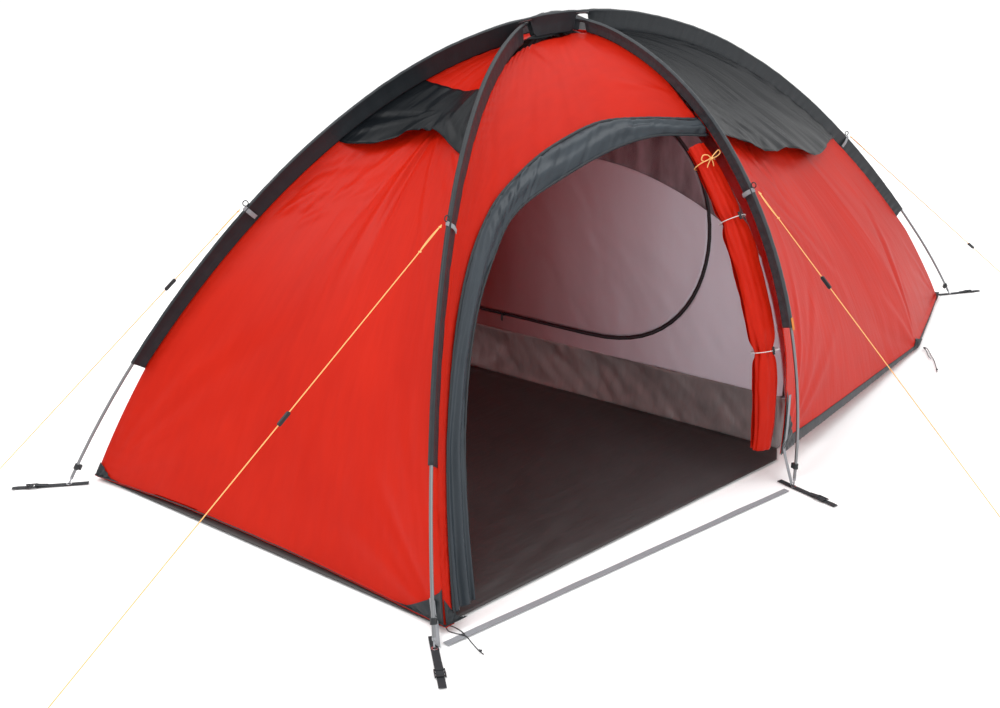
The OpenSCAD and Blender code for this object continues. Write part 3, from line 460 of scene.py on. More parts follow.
finishes = {
    "red": clothFinish("redCloth", (0.68, 0.024, 0.006), (0.50, 0.012, 0.003), 0.38, 0.35, share=0.34,
                       tint=(0.95, 0.055, 0.012), shine=0.14),
    "dark": clothFinish("darkCloth", (0.030, 0.035, 0.040), (0.015, 0.018, 0.021), 0.42, 0.6),
    "grey": clothFinish("greyCloth", (0.052, 0.058, 0.064), (0.026, 0.030, 0.034), 0.42, 0.8),
    "hood": clothFinish("hoodCloth", (0.006, 0.008, 0.011), (0.003, 0.004, 0.005), 0.36, 0.5, shine=0.14),
    "slate": clothFinish("slateCloth", (0.046, 0.058, 0.070), (0.018, 0.024, 0.030), 0.36, 0.8),
    "floor": clothFinish("floorCloth", (0.052, 0.044, 0.044), (0.030, 0.025, 0.025), 0.46, 0.5, shine=0.3),
    "tub": clothFinish("tubCloth", (0.42, 0.40, 0.40), (0.15, 0.14, 0.14), 0.30, 1.0, shine=0.5),
    "tape": clothFinish("tapeCloth", (0.045, 0.05, 0.056), (0.02, 0.023, 0.026), 0.5, 0.3),
    "webDark": webbingFinish("darkWebbing", (0.030, 0.033, 0.038), (0.010, 0.011, 0.013)),
    "webGrey": webbingFinish("greyWebbing", (0.34, 0.35, 0.37), (0.18, 0.185, 0.20)),
    "orangeWeb": webbingFinish("orangeWebbing", (0.8, 0.28, 0.04), (0.45, 0.12, 0.02)),
    "plastic": plasticFinish("darkPlastic", (0.022, 0.024, 0.027), 0.42),
    "poleMetal": metalFinish("poleAlloy", (0.24, 0.245, 0.255), 0.34),
    "insertMetal": metalFinish("insertAlloy", (0.35, 0.36, 0.38), 0.3),
    "brightMetal": metalFinish("nickel", (0.66, 0.66, 0.68), 0.24),
    "blackMetal": metalFinish("blackLacquer", (0.05, 0.05, 0.055), 0.35),
    "guy": cordFinish("guyBraid", (0.98, 0.60, 0.24), (0.75, 0.36, 0.11), 0.006),
    "guyPlain": plainCordFinish("guyKnot", (0.98, 0.60, 0.24), (0.75, 0.36, 0.11)),
    "elastic": plainCordFinish("elasticCord", (0.75, 0.75, 0.72), (0.5, 0.5, 0.5)),
    "black": cordFinish("blackBraid", (0.03, 0.03, 0.034), (0.01, 0.01, 0.012), 0.006),
    "blackPlain": plainCordFinish("blackKnot", (0.035, 0.035, 0.04), (0.012, 0.012, 0.014)),
}


def zipFinish():
    m = Finish("zipCoil")
    x, y, _ = m.split(m.weaveMap())
    teeth = abs((y / 0.0018) % 1.0 - 0.5) * 2
    middle = (1.0 - abs(x) / 0.0028).clamp()
    base = m.blend((teeth * middle).clamp(), (0.012, 0.012, 0.015), (0.05, 0.05, 0.06))
    return m.done(Base_Color=base, Roughness=0.45, Normal=m.bump(teeth * middle, 0.7, 0.0012))


def meshFinish():
    # fine net: mostly dark thread, with light through its holes
    m = Finish("finenet")
    weave = m.weaveMap()
    x, y, _ = m.split(weave)
    hole = (abs((x / 0.0016) % 1.0 - 0.5) + abs((y / 0.0016) % 1.0 - 0.5))
    crinkle = m.noise(m.scaled(weave, (1.0, 0.3, 1.0), (0, 0, 0.6)), 16.0, 4.0)
    # colour follows the crinkle noise that also makes its bumps: painted shade between the crinkles, painted
    # light on them
    base = m.blend((crinkle * 1.8 - 0.4).clamp(), (0.08, 0.06, 0.066), (0.36, 0.28, 0.31))
    alpha = ((hole - 0.35) * 3 + 0.72).clamp(0.62, 1.0)
    return m.done(Base_Color=base, Roughness=0.4, Alpha=alpha, Normal=m.bump(crinkle, 0.7, 0.01))


def paleFinishPaintedRedShade():
    # the room's light cloth, with painted red light and painted shade: dark red towards -x, where the red fly
    # stands close around it, pale towards +x; lighter on the crests of its crease bumps, painted shade in its
    # folds
    m = Finish("paleClothPaintedRedShade")
    weave = m.weaveMap()
    across, _, _ = m.split(m.place())
    x, y, _ = m.split(weave)
    crease = m.noise(m.scaled(weave, (1.0, 0.25, 1.0), (0, 0, -0.6)), 8.0, 4.0, 0.55)
    thread = abs((x / 0.0009) % 1.0 - 0.5) + abs((y / 0.0009) % 1.0 - 0.5)
    # painted red light and painted shade along object x, plus painted shade in the creases that the bump
    # below also uses
    pale = ((across + 0.42) / 0.95 + crease * 0.16 - 0.08).clamp()
    base = m.blend(pale, (0.26, 0.055, 0.055), (0.90, 0.90, 1.0))
    normal = m.bump(thread, 0.1, 0.0002, m.bump(crease, 0.6, 0.012))
    return m.done(0.2, (0.5, 0.45, 0.5), Base_Color=base, Roughness=crease * 0.1 + 0.42, Normal=normal)


finishes["pale"] = paleFinishPaintedRedShade()
finishes["zip"] = zipFinish()
finishes["net"] = meshFinish()
print("finishes ready")


# making and placing pieces
def settle(bm, name, finish, body, slotName, cad=(), smoothShade=True, thickness=0.0, inwardShare=-1.0):
    mesh = bpy.data.meshes.new(name)
    bm.to_mesh(mesh)
    bm.free()
    mesh.materials.append(finishes[finish])
    if smoothShade:
        mesh.polygons.foreach_set("use_smooth", [True] * len(mesh.polygons))
    obj = bpy.data.objects.new(name, mesh)
    scene.collection.objects.link(obj)
    if thickness > 0:
        solid = obj.modifiers.new("thickness", "SOLIDIFY")
        solid.thickness = thickness
        solid.offset = inwardShare
    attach(obj, body)
    if cad:
        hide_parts(*cad)
    return obj


def gridCloth(columns, rows, place, size, wrap=False):
    # a flat grid moved onto place(u, v), with a map in metres for the weave
    bm = bmesh.new()
    layer = bm.loops.layers.uv.new("weave")
    bmesh.ops.create_grid(bm, x_segments=columns, y_segments=rows, size=0.5)
    bm.verts.ensure_lookup_table()
    flat = np.array([v.co[:2] for v in bm.verts]) + 0.5
    points = place(flat[:, 0], flat[:, 1])
    for face in bm.faces:
        for loop in face.loops:
            x, y = flat[loop.vert.index]
            loop[layer].uv = (x * size[0], y * size[1])
    for vert, p in zip(bm.verts, points):
        vert.co = p
    if wrap:
        bmesh.ops.remove_doubles(bm, verts=bm.verts, dist=0.00002)
    bm.normal_update()
    return bm


def joined(parts):
    whole = bmesh.new()
    whole.loops.layers.uv.new("weave")
    for part in parts:
        mesh = bpy.data.meshes.new("part")
        part.to_mesh(mesh)
        part.free()
        whole.from_mesh(mesh)
        bpy.data.meshes.remove(mesh)
    return whole


def turnOut(bm, centre):
    # faces the sheet away from a point
    total = sum(f.normal.dot(f.calc_center_median() - Vector(centre)) * f.calc_area() for f in bm.faces)
    if total < 0:
        bmesh.ops.reverse_faces(bm, faces=bm.faces)
    return bm


def surfaceNormal(surface, u, v):
    h = 0.002
    n = unit(np.cross(surface(u + h, v) - surface(u - h, v), surface(u, v + h) - surface(u, v - h)))
    middle = surface(np.array(0.5), np.array(0.5))
    aside, above = surface(np.array(0.52), np.array(0.5)), surface(np.array(0.5), np.array(0.52))
    facing = np.cross(aside - middle, above - middle)
    return n * (1 if np.dot(facing, middle - heart) > 0 else -1)


def creases(surface, groups, seed):
    # long soft folds that fan out from points of a panel
    rng = np.random.RandomState(seed)
    half, low, high = np.array(0.5), np.array(0.05), np.array(0.95)
    origin = surface(half, half)
    ex = unit(surface(high, half) - surface(low, half))
    ey = surface(half, high) - surface(half, low)
    ey = unit(ey - dot(ey, ex) * ex)

    def flat(p):
        return np.stack([(p - origin) @ ex, (p - origin) @ ey], -1)

    folds = []
    for g in groups:
        start = flat(surface(np.array(g["at"][0]), np.array(g["at"][1])))
        aim = flat(surface(np.array(g["to"][0]), np.array(g["to"][1]))) - start
        base = math.atan2(aim[1], aim[0])
        for k in range(g["count"]):
            spin = (k + 0.5) / g["count"] - 0.5 + rng.uniform(-0.06, 0.06)
            angle = base + math.radians(g["spread"]) * spin
            length = np.linalg.norm(aim) * rng.uniform(0.55, 1.15)
            height = g["height"] * rng.uniform(0.35, 1.0) * (1 if k % 2 else -1)
            shift = rng.uniform(-1, 1, 2) * g["scatter"]
            folds.append((start + shift, np.array([math.cos(angle), math.sin(angle)]), length, height,
                          g["width"] * rng.uniform(0.7, 1.3), rng.uniform(-0.25, 0.25)))

    def field(p):
        q = flat(p)
        total = np.zeros(q.shape[:-1])
        for start, d, length, height, width, bend in folds:
            along = (q - start) @ d
            across = (q - start) @ np.array([-d[1], d[0]]) - bend * along * along
            share = along / length
            fade = smooth(0, 0.12, share) * (1 - smooth(0.45, 1.0, share))
            total += height * fade * np.exp(-(across / (width * (0.35 + np.clip(share, 0, 1)))) ** 2)
        return total

    return field


def pucker(near, along, height, reach, pitch, seed):
    # short folds square to a seam
    phase = 2 * np.pi * along / pitch + 3.0 * ripple(along / (pitch * 2.6), seed + 0 * along, seed)
    strength = 0.5 + 0.5 * ripple(along / (pitch * 5), 7 + 0 * along, seed + 3)
    return height * np.sin(phase) * strength * np.exp(-np.maximum(near, 0) / reach)


def panelRelief(surface, spec):
    field = creases(surface, spec["folds"], spec["seed"])
    width, length = spec["size"]

    def relief(u, v, p):
        off = field(p)
        x, y = u * width, v * length
        for edge, height, reach, pitch in spec["puckers"]:
            near, along = {"left": (x, y), "right": (width - x, y), "low": (y, x)}[edge]
            off = off + pucker(near, along, height, reach, pitch, spec["seed"])
        off = off + spec["billow"] * ripple(x * 2.6, y * 2.6, spec["seed"] + 11)
        off = off + 0.0008 * ripple(x * 17, y * 6, spec["seed"] + 17)
        edge = np.minimum(np.minimum(u, 1 - u) * width, v * length + 0.01)
        return off * smooth(0.0, 0.02, edge)

    return relief


def fan(at, to, spread, count, height, width, scatter=0.0):
    # folds that leave a point of a panel, in its u and v, and head for another
    return {"at": at, "to": to, "spread": spread, "count": count, "height": height, "width": width,
            "scatter": scatter}


panels = {
    "front": {
        "surface": frontFace, "size": (1.45, 1.5), "seed": 3, "billow": 0.004,
        "puckers": [("left", 0.0028, 0.07, 0.045), ("right", 0.003, 0.05, 0.035), ("low", 0.001, 0.03, 0.05)],
        "folds": [
            fan((0.02, 0.01), (0.45, 0.5), 60, 9, 0.005, 0.03),
            fan((0.98, 0.01), (0.7, 0.42), 55, 12, 0.0055, 0.022),
            fan((0.02, 0.60), (0.5, 0.74), 60, 12, 0.0045, 0.016, 0.09),
            fan((0.55, 0.79), (0.5, 0.45), 130, 11, 0.006, 0.014),
            fan((0.98, 0.62), (0.6, 0.68), 50, 7, 0.003, 0.016, 0.06)]},
    "door": {
        "surface": doorSide, "size": (1.35, 1.5), "seed": 5, "billow": 0.003,
        "puckers": [("left", 0.0034, 0.035, 0.026), ("right", 0.002, 0.04, 0.04)],
        "folds": [
            fan((0.02, 0.05), (0.03, 0.6), 8, 4, 0.003, 0.012),
            fan((0.02, 0.98), (0.5, 0.8), 70, 7, 0.003, 0.03),
            fan((0.98, 0.7), (0.6, 0.85), 40, 6, 0.003, 0.02)]},
    "closed": {
        "surface": closedSide, "size": (1.35, 1.5), "seed": 9, "billow": 0.005,
        "puckers": [("left", 0.003, 0.05, 0.035), ("right", 0.003, 0.05, 0.04)],
        "folds": [
            fan((0.02, 0.01), (0.5, 0.5), 60, 10, 0.006, 0.03),
            fan((0.98, 0.01), (0.5, 0.5), 60, 10, 0.006, 0.03),
            fan((0.5, 0.98), (0.5, 0.5), 80, 8, 0.004, 0.03)]},
    "right": {
        "surface": rightSide, "size": (2.25, 1.45), "seed": 13, "billow": 0.004,
        "puckers": [("left", 0.0026, 0.07, 0.045), ("right", 0.003, 0.08, 0.05), ("low", 0.001, 0.03, 0.06)],
        "folds": [
            fan((0.03, 0.60), (0.55, 0.25), 34, 10, 0.0035, 0.016, 0.10),
            fan((0.02, 0.01), (0.35, 0.35), 60, 8, 0.005, 0.03),
            fan((pegU, 0.01), (0.55, 0.4), 110, 9, 0.005, 0.03),
            fan((0.98, 0.01), (0.75, 0.3), 50, 7, 0.005, 0.024),
            fan((0.3, 0.61), (0.3, 0.42), 90, 7, 0.003, 0.015, 0.12)]},
    "left": {
        "surface": leftSide, "size": (2.25, 1.45), "seed": 17, "billow": 0.004,
        "puckers": [("left", 0.0026, 0.07, 0.045), ("right", 0.003, 0.08, 0.05), ("low", 0.001, 0.03, 0.06)],
        "folds": [
            fan((0.02, 0.01), (0.35, 0.35), 60, 8, 0.005, 0.03),
            fan((pegU, 0.01), (0.55, 0.4), 110, 9, 0.005, 0.03),
            fan((0.98, 0.01), (0.75, 0.3), 50, 7, 0.005, 0.024),
            fan((0.3, 0.61), (0.3, 0.4), 90, 7, 0.003, 0.015, 0.12)]},
    "rear": {
        "surface": rearFace, "size": (1.1, 2.4), "seed": 19, "billow": 0.004,
        "puckers": [("left", 0.003, 0.06, 0.045), ("right", 0.003, 0.06, 0.045), ("low", 0.001, 0.03, 0.05)],
        "folds": [
            fan((0.02, 0.01), (0.5, 0.4), 50, 9, 0.005, 0.03),
            fan((0.98, 0.01), (0.5, 0.4), 50, 9, 0.005, 0.03),
            fan((0.5, 0.97), (0.5, 0.5), 60, 8, 0.004, 0.02)]},
}
for spec in panels.values():
    spec["relief"] = panelRelief(spec["surface"], spec)


def onPanel(name, u, v, lift=0.0):
    # a place on a panel's cloth, folds included, lifted off it by lift
    spec = panels[name]
    surface = spec["surface"]
    p = surface(u, v)
    n = surfaceNormal(surface, u, v)
    return p + n * (spec["relief"](u, v, p) + lift)[..., None]


thickness = {"fly": 0.0008, "room": 0.0006, "strap": 0.0012}


def sheet(name, place, cells, weave, finish, slotName, cad, flat, area, centre=heart, body="tent",
          thick="fly"):
    # a stretched sheet: a grid of cells moved by place, facing away from centre
    bm = turnOut(gridCloth(cells[0], cells[1], place, weave), centre)
    obj = settle(bm, name, finish, body, slotName, cad, thickness=thickness[thick])


def panelSheet(name, panel, span, cells, cad, flat, area):
    def place(a, b):
        return onPanel(panel, a, mix(span[0], span[1], b))

    sheet(name, place, cells, flat, "red", "fly_red", cad, flat, area)


redPanels = {
    "frontCloth": ("front", (0.002, 0.80), (130, 100), ("fly_front",), (1.45, 1.25), 1.28),
    "frontPeak": ("front", (0.79, 0.985), (40, 30), ("fly_front_peak",), (0.40, 0.30), 0.078),
    "closedSideCloth": ("closed", (0.002, 0.99), (110, 110), ("fly_closed_side",), (1.45, 1.40), 1.55),
    "rightSideCloth": ("right", (0.002, 0.64), (170, 80), ("fly_side_right",), (2.33, 1.0), 1.85),
    "leftSideCloth": ("left", (0.002, 0.64), (170, 80), ("fly_side_left",), (2.33, 1.0), 1.85),
    "rearCloth": ("rear", (0.002, 0.99), (80, 170), ("fly_rear",), (1.05, 2.55), 1.75),
}
for name, spec in redPanels.items():
    panelSheet(name, *spec)
print("red panels ready")


# vents: the lower edge of each hood arches, and stands off the panel
hoodShape = {"stand": 0.036, "frontLow": 0.70, "frontHigh": 0.84, "sideLow": 0.585, "sideHigh": 0.71,
             "sideTop": 0.985}


def frontHood(a, b):
    low = hoodShape["frontLow"] + 0.035 * np.sin(np.pi * a) ** 2 - 0.012 * np.sin(2 * np.pi * a)
    v = mix(low, hoodShape["frontHigh"], b)
    stand = hoodShape["stand"] * np.sin(np.pi * a) ** 0.8 * (1 - b)
    gather = np.sin(2 * np.pi * (a * 3.2 + 0.3 * ripple(a * 6, b * 2, 5)))
    fold = 0.004 * (1 - b) * gather + 0.002 * ripple(a * 14, b * 4, 6)
    return onPanel("front", a, v, 0.003 + stand + fold * smooth(0, 0.08, np.minimum(a, 1 - a)))


sheet("frontVentHood", frontHood, (70, 24), (0.62, 0.22), "hood", "trim_dark", ("hood_front",),
      (0.62, 0.24), 0.10)


def sideCap(panel):
    def place(a, b):
        wave = 0.012 * np.sin(2 * np.pi * a * 2.2 + 0.6) * np.sin(np.pi * a)
        low = hoodShape["sideLow"] + wave - 0.02 * np.sin(np.pi * a)
        v = mix(low, hoodShape["sideTop"], b)
        down = np.clip((hoodShape["sideHigh"] - v) / (hoodShape["sideHigh"] - low), 0, 1)
        stand = 0.045 * np.sin(np.pi * a) ** 0.7 * down
        fold = 0.0035 * down * np.sin(2 * np.pi * (a * 7 + 0.5 * ripple(a * 5, b * 2, 8)))
        tension = 0.003 * ripple(a * 22, b * 5, 9) * (0.3 + smooth(0.6, 1.0, a))
        return onPanel(panel, a, v, 0.004 + stand + (fold + tension) * smooth(0, 0.05, np.minimum(a, 1 - a)))

    return place


for name, panel, cad in (("rightCap", "right", ("hoods_side", "fly_caps")),
                         ("leftCap", "left", ("hoods_side",))):
    sheet(name, sideCap(panel), (110, 60), (1.5, 0.62), "hood", "trim_dark", cad, (1.55, 0.65), 0.47)


def crownPlace(a, b):
    p = crownFace(a, mix(0.0, 0.97, b))
    fold = 0.004 * ripple(a * 6, b * 5, 21)
    return p + vec(0, 0, 0.012 * np.sin(np.pi * a) * np.sin(np.pi * b) + fold)


sheet("crownCap", crownPlace, (24, 24), (0.14, 0.2), "hood", "trim_dark", (), (0.16, 0.2), 0.015)


# binding along each hem, and a gathered patch at each corner
def hemBand(panel, high):
    def place(a, b):
        u = mix(0.002, 0.998, a)
        v = np.maximum(mix(-0.001, high, b), 0.001)
        wave = 0.0006 * np.sin(a * 420) * (1 - b)
        return onPanel(panel, u, v, 0.0016 + np.sin(np.pi * b) * 0.0012 + wave)

    return turnOut(gridCloth(160, 5, place, (panels[panel]["size"][0], 0.022)), heart)


hemTops = {"front": 0.0155, "closed": 0.0165, "right": 0.021, "left": 0.021, "rear": 0.0105}
hems = settle(joined([hemBand(*row) for row in hemTops.items()]), "hemBinding", "tape", "tent", "trim_dark",
              ("hem_tapes",), thickness=thickness["fly"])


def cornerPatch(panel, u0, u1, rise, side):
    # a triangle of dark cloth: full height at the seam, nothing at its far end, gathered towards the corner
    def place(a, b):
        along = a if side > 0 else 1 - a
        u = mix(u0, u1, a)
        v = 0.001 + b * rise * (1 - 0.93 * along ** 0.9)
        size = panels[panel]["size"]
        reach = np.hypot(along * abs(u1 - u0) * size[0], v * size[1]) + 0.01
        angle = np.arctan2(v * size[1], along * abs(u1 - u0) * size[0] + 0.004)
        gather = 0.0022 * np.sin(angle * 22) * smooth(0.0, 0.05, reach) * (1 - smooth(0.08, 0.2, reach))
        return onPanel(panel, u, v, 0.0034 + gather)

    return turnOut(gridCloth(26, 22, place, (0.16, 0.14)), heart)


corners = [
    ("front", 0.0, 0.075, 0.085, 1), ("front", 0.87, 1.0, 0.12, -1),
    ("door", 0.0, 0.05, 0.10, 1), ("closed", 0.0, 0.10, 0.08, 1), ("closed", 0.90, 1.0, 0.08, -1),
    ("right", 0.0, 0.055, 0.11, 1), ("right", 0.95, 1.0, 0.07, -1),
    ("left", 0.0, 0.055, 0.11, 1), ("left", 0.95, 1.0, 0.07, -1),
    ("rear", 0.0, 0.11, 0.045, 1), ("rear", 0.89, 1.0, 0.045, -1),
    ("right", pegU, pegU + 0.035, 0.06, 1), ("right", pegU - 0.035, pegU, 0.06, -1),
    ("left", pegU, pegU + 0.035, 0.06, 1), ("left", pegU - 0.035, pegU, 0.06, -1)]
patches = settle(joined([cornerPatch(*corner) for corner in corners]), "cornerPatches", "dark", "tent",
                 "trim_dark", ("corner_patches",), thickness=thickness["fly"])
print("vents, hems and corner patches ready")


# pole sleeves: a fin of cloth with the pole in a pocket along its outer edge
sleeves = {"width": 0.034, "pocket": 0.0082, "wrinkle": 0.0016, "thick": 0.0005, "poleLength": 5.0,
           "starts": (0.145, 0.145, 0.115), "ends": (0.775, 0.775, 0.885),
           "crossings": ((crossAt, hoopAt), (crossAt, hoopAt), (hoopCross, 1 - hoopCross))}


def sleeveTube(which, t0, t1):
    path = paths[which]
    up = (2 - which) * tent["poleStep"]
    profile = np.array([[1.0, 0.0], [0.72, 0.03], [0.45, 0.06], [0.0, 0.75], [-0.5, 0.9], [-1.0, 0.0],
                        [-0.5, -0.9], [0.0, -0.75], [0.45, -0.06], [0.72, -0.03], [1.0, 0.0]])

    def place(a, b):
        t = mix(t0, t1, a)
        p = path(t)
        d = unit(path(t + 0.004) - path(t - 0.004))
        n = inward(p, d)
        side = np.cross(d, n)
        k = np.maximum(np.sin(np.pi * t), 0) ** tent["rise"]
        near = np.min([np.abs(t - c) for c in sleeves["crossings"][which]], axis=0)
        free = smooth(0.0032, 0.0062, near)
        reach = mix(0.0066, sleeves["width"] + 0.0025 + up * k, free)
        pocket = mix(0.0063, sleeves["pocket"], free)
        where = np.clip(b * 10, 0, 9.9999)
        i = where.astype(int)
        f = (where - i)[..., None]
        q = profile[i] * (1 - f) + profile[i + 1] * f
        fin = np.clip(q[..., 0], 0, 1)
        x = np.where(q[..., 0] > 0, q[..., 0] * reach, q[..., 0] * pocket)
        y = q[..., 1] * np.where(np.abs(q[..., 1]) > 0.2, pocket, 0.02)
        s = t * sleeves["poleLength"]
        wild = 0.4 + 0.9 * smooth(0.5, 0.72, t)
        wave = np.sin(2 * np.pi * (s / 0.034 + 0.8 * ripple(s * 9, 0 * s, which + 2)) + fin * 2.2)
        y = y + sleeves["wrinkle"] * wild * wave * smooth(0.2, 0.5, fin) * (1 - smooth(0.85, 1.0, fin))
        x = x + np.where(q[..., 0] < 0, 0.0006 * ripple(s * 60, b * 6, which), 0)
        return p + n * x[..., None] + side * y[..., None]

    length = (t1 - t0) * sleeves["poleLength"]
    return gridCloth(int(length / 0.009), 30, place, (length, 0.09), wrap=True)


sleeveRows = [
    ("sleeveLeftFront", "dark", "sleeve_left_front", (3.2, 0.17), 0.51),
    ("sleeveRightFront", "dark", "sleeve_right_front", (3.15, 0.155), 0.45),
    ("sleeveHoop", "grey", "sleeve_hoop", (2.85, 0.1), 0.265),
]
for which, (name, finish, cad, flat, area) in enumerate(sleeveRows):
    pocketCloth = sleeveTube(which, sleeves["starts"][which], sleeves["ends"][which])
    bmesh.ops.recalc_face_normals(pocketCloth, faces=pocketCloth.faces)
    sleeve = settle(joined([pocketCloth]), name, finish, "tent", "trim_dark", (cad,),
                    thickness=sleeves["thick"])
print("sleeves ready")


# the outer door: storm flap along the arch, and the door rolled up beside the hoop
def through(points, t):
    # a smooth curve through a list of points
    pts = np.array(points, float)
    n = len(pts) - 1
    where = np.clip(np.asarray(t, float) * n, 0, n - 1e-6)
    i = where.astype(int)
    f = (where - i)[..., None]
    a, b = pts[np.maximum(i - 1, 0)], pts[i]
    c, d = pts[i + 1], pts[np.minimum(i + 2, n)]
    return b + 0.5 * f * (c - a + f * (2 * a - 5 * b + 4 * c - d + f * (3 * (b - c) + d - a)))


doorEdges = {
    "panel": [[0.0, 0.0], [0.0, 0.3], [0.0, 0.55], [0.0, 0.8], [0.024, 0.935], [0.2, 0.976], [0.6, 0.99],
              [0.99, 0.97], [0.99, 0.66]],
    "outer": [[0.02, 0.006], [0.02, 0.3], [0.04, 0.5], [0.1, 0.6], [0.2, 0.65], [0.36, 0.688], [0.6, 0.706],
              [0.81, 0.675], [0.99, 0.622]],
    "inner": [[0.07, 0.006], [0.065, 0.3], [0.085, 0.455], [0.14, 0.545], [0.21, 0.595], [0.37, 0.624],
              [0.61, 0.644], [0.82, 0.633], [0.99, 0.585]],
}


def doorBand(edgeA, edgeB, grow=(0.0, 0.0)):
    # across from edge A at a = 0 to edge B at a = 1, along the arch with b
    def where(a, b):
        p, q = through(doorEdges[edgeA], b), through(doorEdges[edgeB], b)
        share = mix(grow[0], 1 + grow[1], a)
        uv = mix(p, q, share[..., None])
        return uv[..., 0], uv[..., 1]

    return where


overArch = doorBand("panel", "outer", (0.0, 0.03))


def doorCloth(a, b):
    u, v = overArch(a, b)
    p = doorSide(u, v)
    n = surfaceNormal(doorSide, u, v)
    spec = panels["door"]
    off = spec["relief"](u, v, p)
    seam = 0.0022 * np.sin(b * 210) * np.exp(-a / 0.12) * (b < 0.62)
    slack = 0.0025 * ripple(b * 26, a * 3, 31) * np.exp(-(1 - a) / 0.4)
    return p + n * (off + seam + slack)[..., None]


sheet("doorSideCloth", doorCloth, (50, 260), (0.42, 2.4), "red", "fly_red", ("fly_door_side",),
      (2.4, 0.42), 0.36)

overFlap = doorBand("outer", "inner", (-0.03, 0.03))


def flapCloth(a, b):
    b = mix(0.03, 1.0, b)
    u, v = overFlap(a, b)
    p = doorSide(u, v)
    n = surfaceNormal(doorSide, u, v)
    s = b * 2.5
    gather = 0.0028 * np.sin(2 * np.pi * (a * 2.1 + 0.35 * ripple(s * 3, a * 0, 41)))
    cross = 0.0028 * ripple(s * 34 + a * 5, a * 2.5, 43) * smooth(0.25, 0.5, b)
    cross = cross + 0.0015 * ripple(s * 12, a * 5, 44)
    edge = smooth(0, 0.08, np.minimum(a, 1 - a))
    gather = gather * (1 + 2.2 * np.exp(-(b - 0.03) / 0.07))
    foot = smooth(0.0, 0.12, b - 0.03)
    stand = 0.0035 * a + 0.01 * np.sin(np.pi * a) * foot
    curl = 0.012 * a ** 3 * foot
    return p + n * (0.0022 + stand - curl + (gather + cross) * edge)[..., None]


sheet("doorFlap", flapCloth, (26, 330), (0.07, 2.5), "slate", "flap_slate", ("door_flap",),
      (2.55, 0.085), 0.157)


def piping(name, edge, width, lift, cad, flat, area):
    # a narrow tube of cloth that follows an edge of the door opening
    def place(a, b):
        t = mix(0.03, 1.0, b)
        step = 0.002
        q = through(doorEdges[edge], t)
        q1 = through(doorEdges[edge], np.minimum(t + step, 1))
        q0 = through(doorEdges[edge], np.maximum(t - step, 0))
        p = doorSide(q[..., 0], q[..., 1])
        d = unit(doorSide(q1[..., 0], q1[..., 1]) - doorSide(q0[..., 0], q0[..., 1]))
        n = surfaceNormal(doorSide, q[..., 0], q[..., 1])
        side = unit(np.cross(n, d))
        wave = 0.0006 * np.sin(t * 300)
        off = lift + wave + 0.001 * np.sin(np.pi * a)
        return p + side * ((a - 0.5) * width)[..., None] + n * off[..., None]

    sheet(name, place, (6, 260), (width, 2.5), "dark", "trim_dark", cad, flat, area)


piping("doorPiping", "outer", 0.008, 0.0065, (), (2.5, 0.012), 0.017)
piping("flapPiping", "inner", 0.006, 0.0, ("door_zip",), (2.4, 0.01), 0.012)

roll = {"high": 0.575, "low": 0.012, "side": 0.057, "wide": 0.053, "deep": 0.024, "toggles": (0.72, 0.3),
        "pinch": 0.26, "lobes": 0.004, "turns": 3.5}


def rollFrame(t):
    v = mix(roll["low"], roll["high"], t)

    def seam(x):
        return hoopSeam(mix(tHoopFoot, hoopCross, x))

    q = seam(v)
    d = unit(seam(v + 0.002) - seam(v - 0.002))
    n = inward(q, d)
    b = np.cross(n, d)
    b = b * np.where(b[..., 1:2] < 0, 1, -1)
    return q + n * 0.008 + b * roll["side"], n, b


def rollCloth(a, t):
    # rolled cloth: an oval body with lengthwise gathers and one loose edge along it
    c, n, b = rollFrame(t)
    fat = 0.55 + 0.45 * np.sin(np.pi * np.clip(0.12 + 0.8 * t, 0, 1))
    squeeze = sum(np.exp(-((t - k) / 0.026) ** 2) for k in roll["toggles"])
    turns = roll["turns"]
    angle = 2 * np.pi * turns * a + 0.8
    s = t * 1.05
    twist = 0.5 * s + 0.25 * ripple(s * 4, 0 * s, 51)
    lobe = (np.sin(5 * angle + 4 * twist) * 0.5 + np.sin(9 * angle - 3 * twist + 1.0) * 0.35
            + 0.6 * ripple(angle * 2.2, s * 14, 52) + 0.3 * ripple(angle * 5, s * 30, 53))
    swell = 1 + 0.10 * ripple(s * 7, 0 * s, 54) - roll["pinch"] * squeeze
    radial = swell * mix(1.0, 0.34, a)
    grow = roll["lobes"] * lobe * (1 + 0.8 * squeeze)
    wide = roll["wide"] * fat * radial + grow
    deep = roll["deep"] * fat * radial + grow * 0.7
    mid = roll["deep"] * fat
    edge = 0.004 * smooth(0.04, 0.0, a) * (1 - squeeze)
    across, up = (wide + edge) * np.cos(angle), mid + (deep + edge) * np.sin(angle)
    return c + b * across[..., None] + n * up[..., None]


rolled = settle(gridCloth(210, 170, rollCloth, (0.7, 1.05)), "doorRollCloth", "red", "tent", "fly_red",
                ("door_roll",), thickness=thickness["fly"], inwardShare=0.0)
print("door ready")


# the inner tent
inner = {"front": 0.24, "archWide": 0.82, "archHigh": 1.19, "hingeX": -0.48, "middle": (0.0296, 0.66),
         "rim": 0.1806, "tubHigh": 0.18, "tubEnd": 0.06, "end": 2.195, "endHalf": 0.455, "half": 0.8}


def wallArch(t):
    c = np.cos(np.pi * t)
    high = inner["archHigh"] * np.maximum(np.sin(np.pi * t), 0) ** 0.975
    return -np.sign(c) * np.abs(c) ** 1.08 * inner["archWide"], high


roomHeart = (0, 1.2, 0.5)


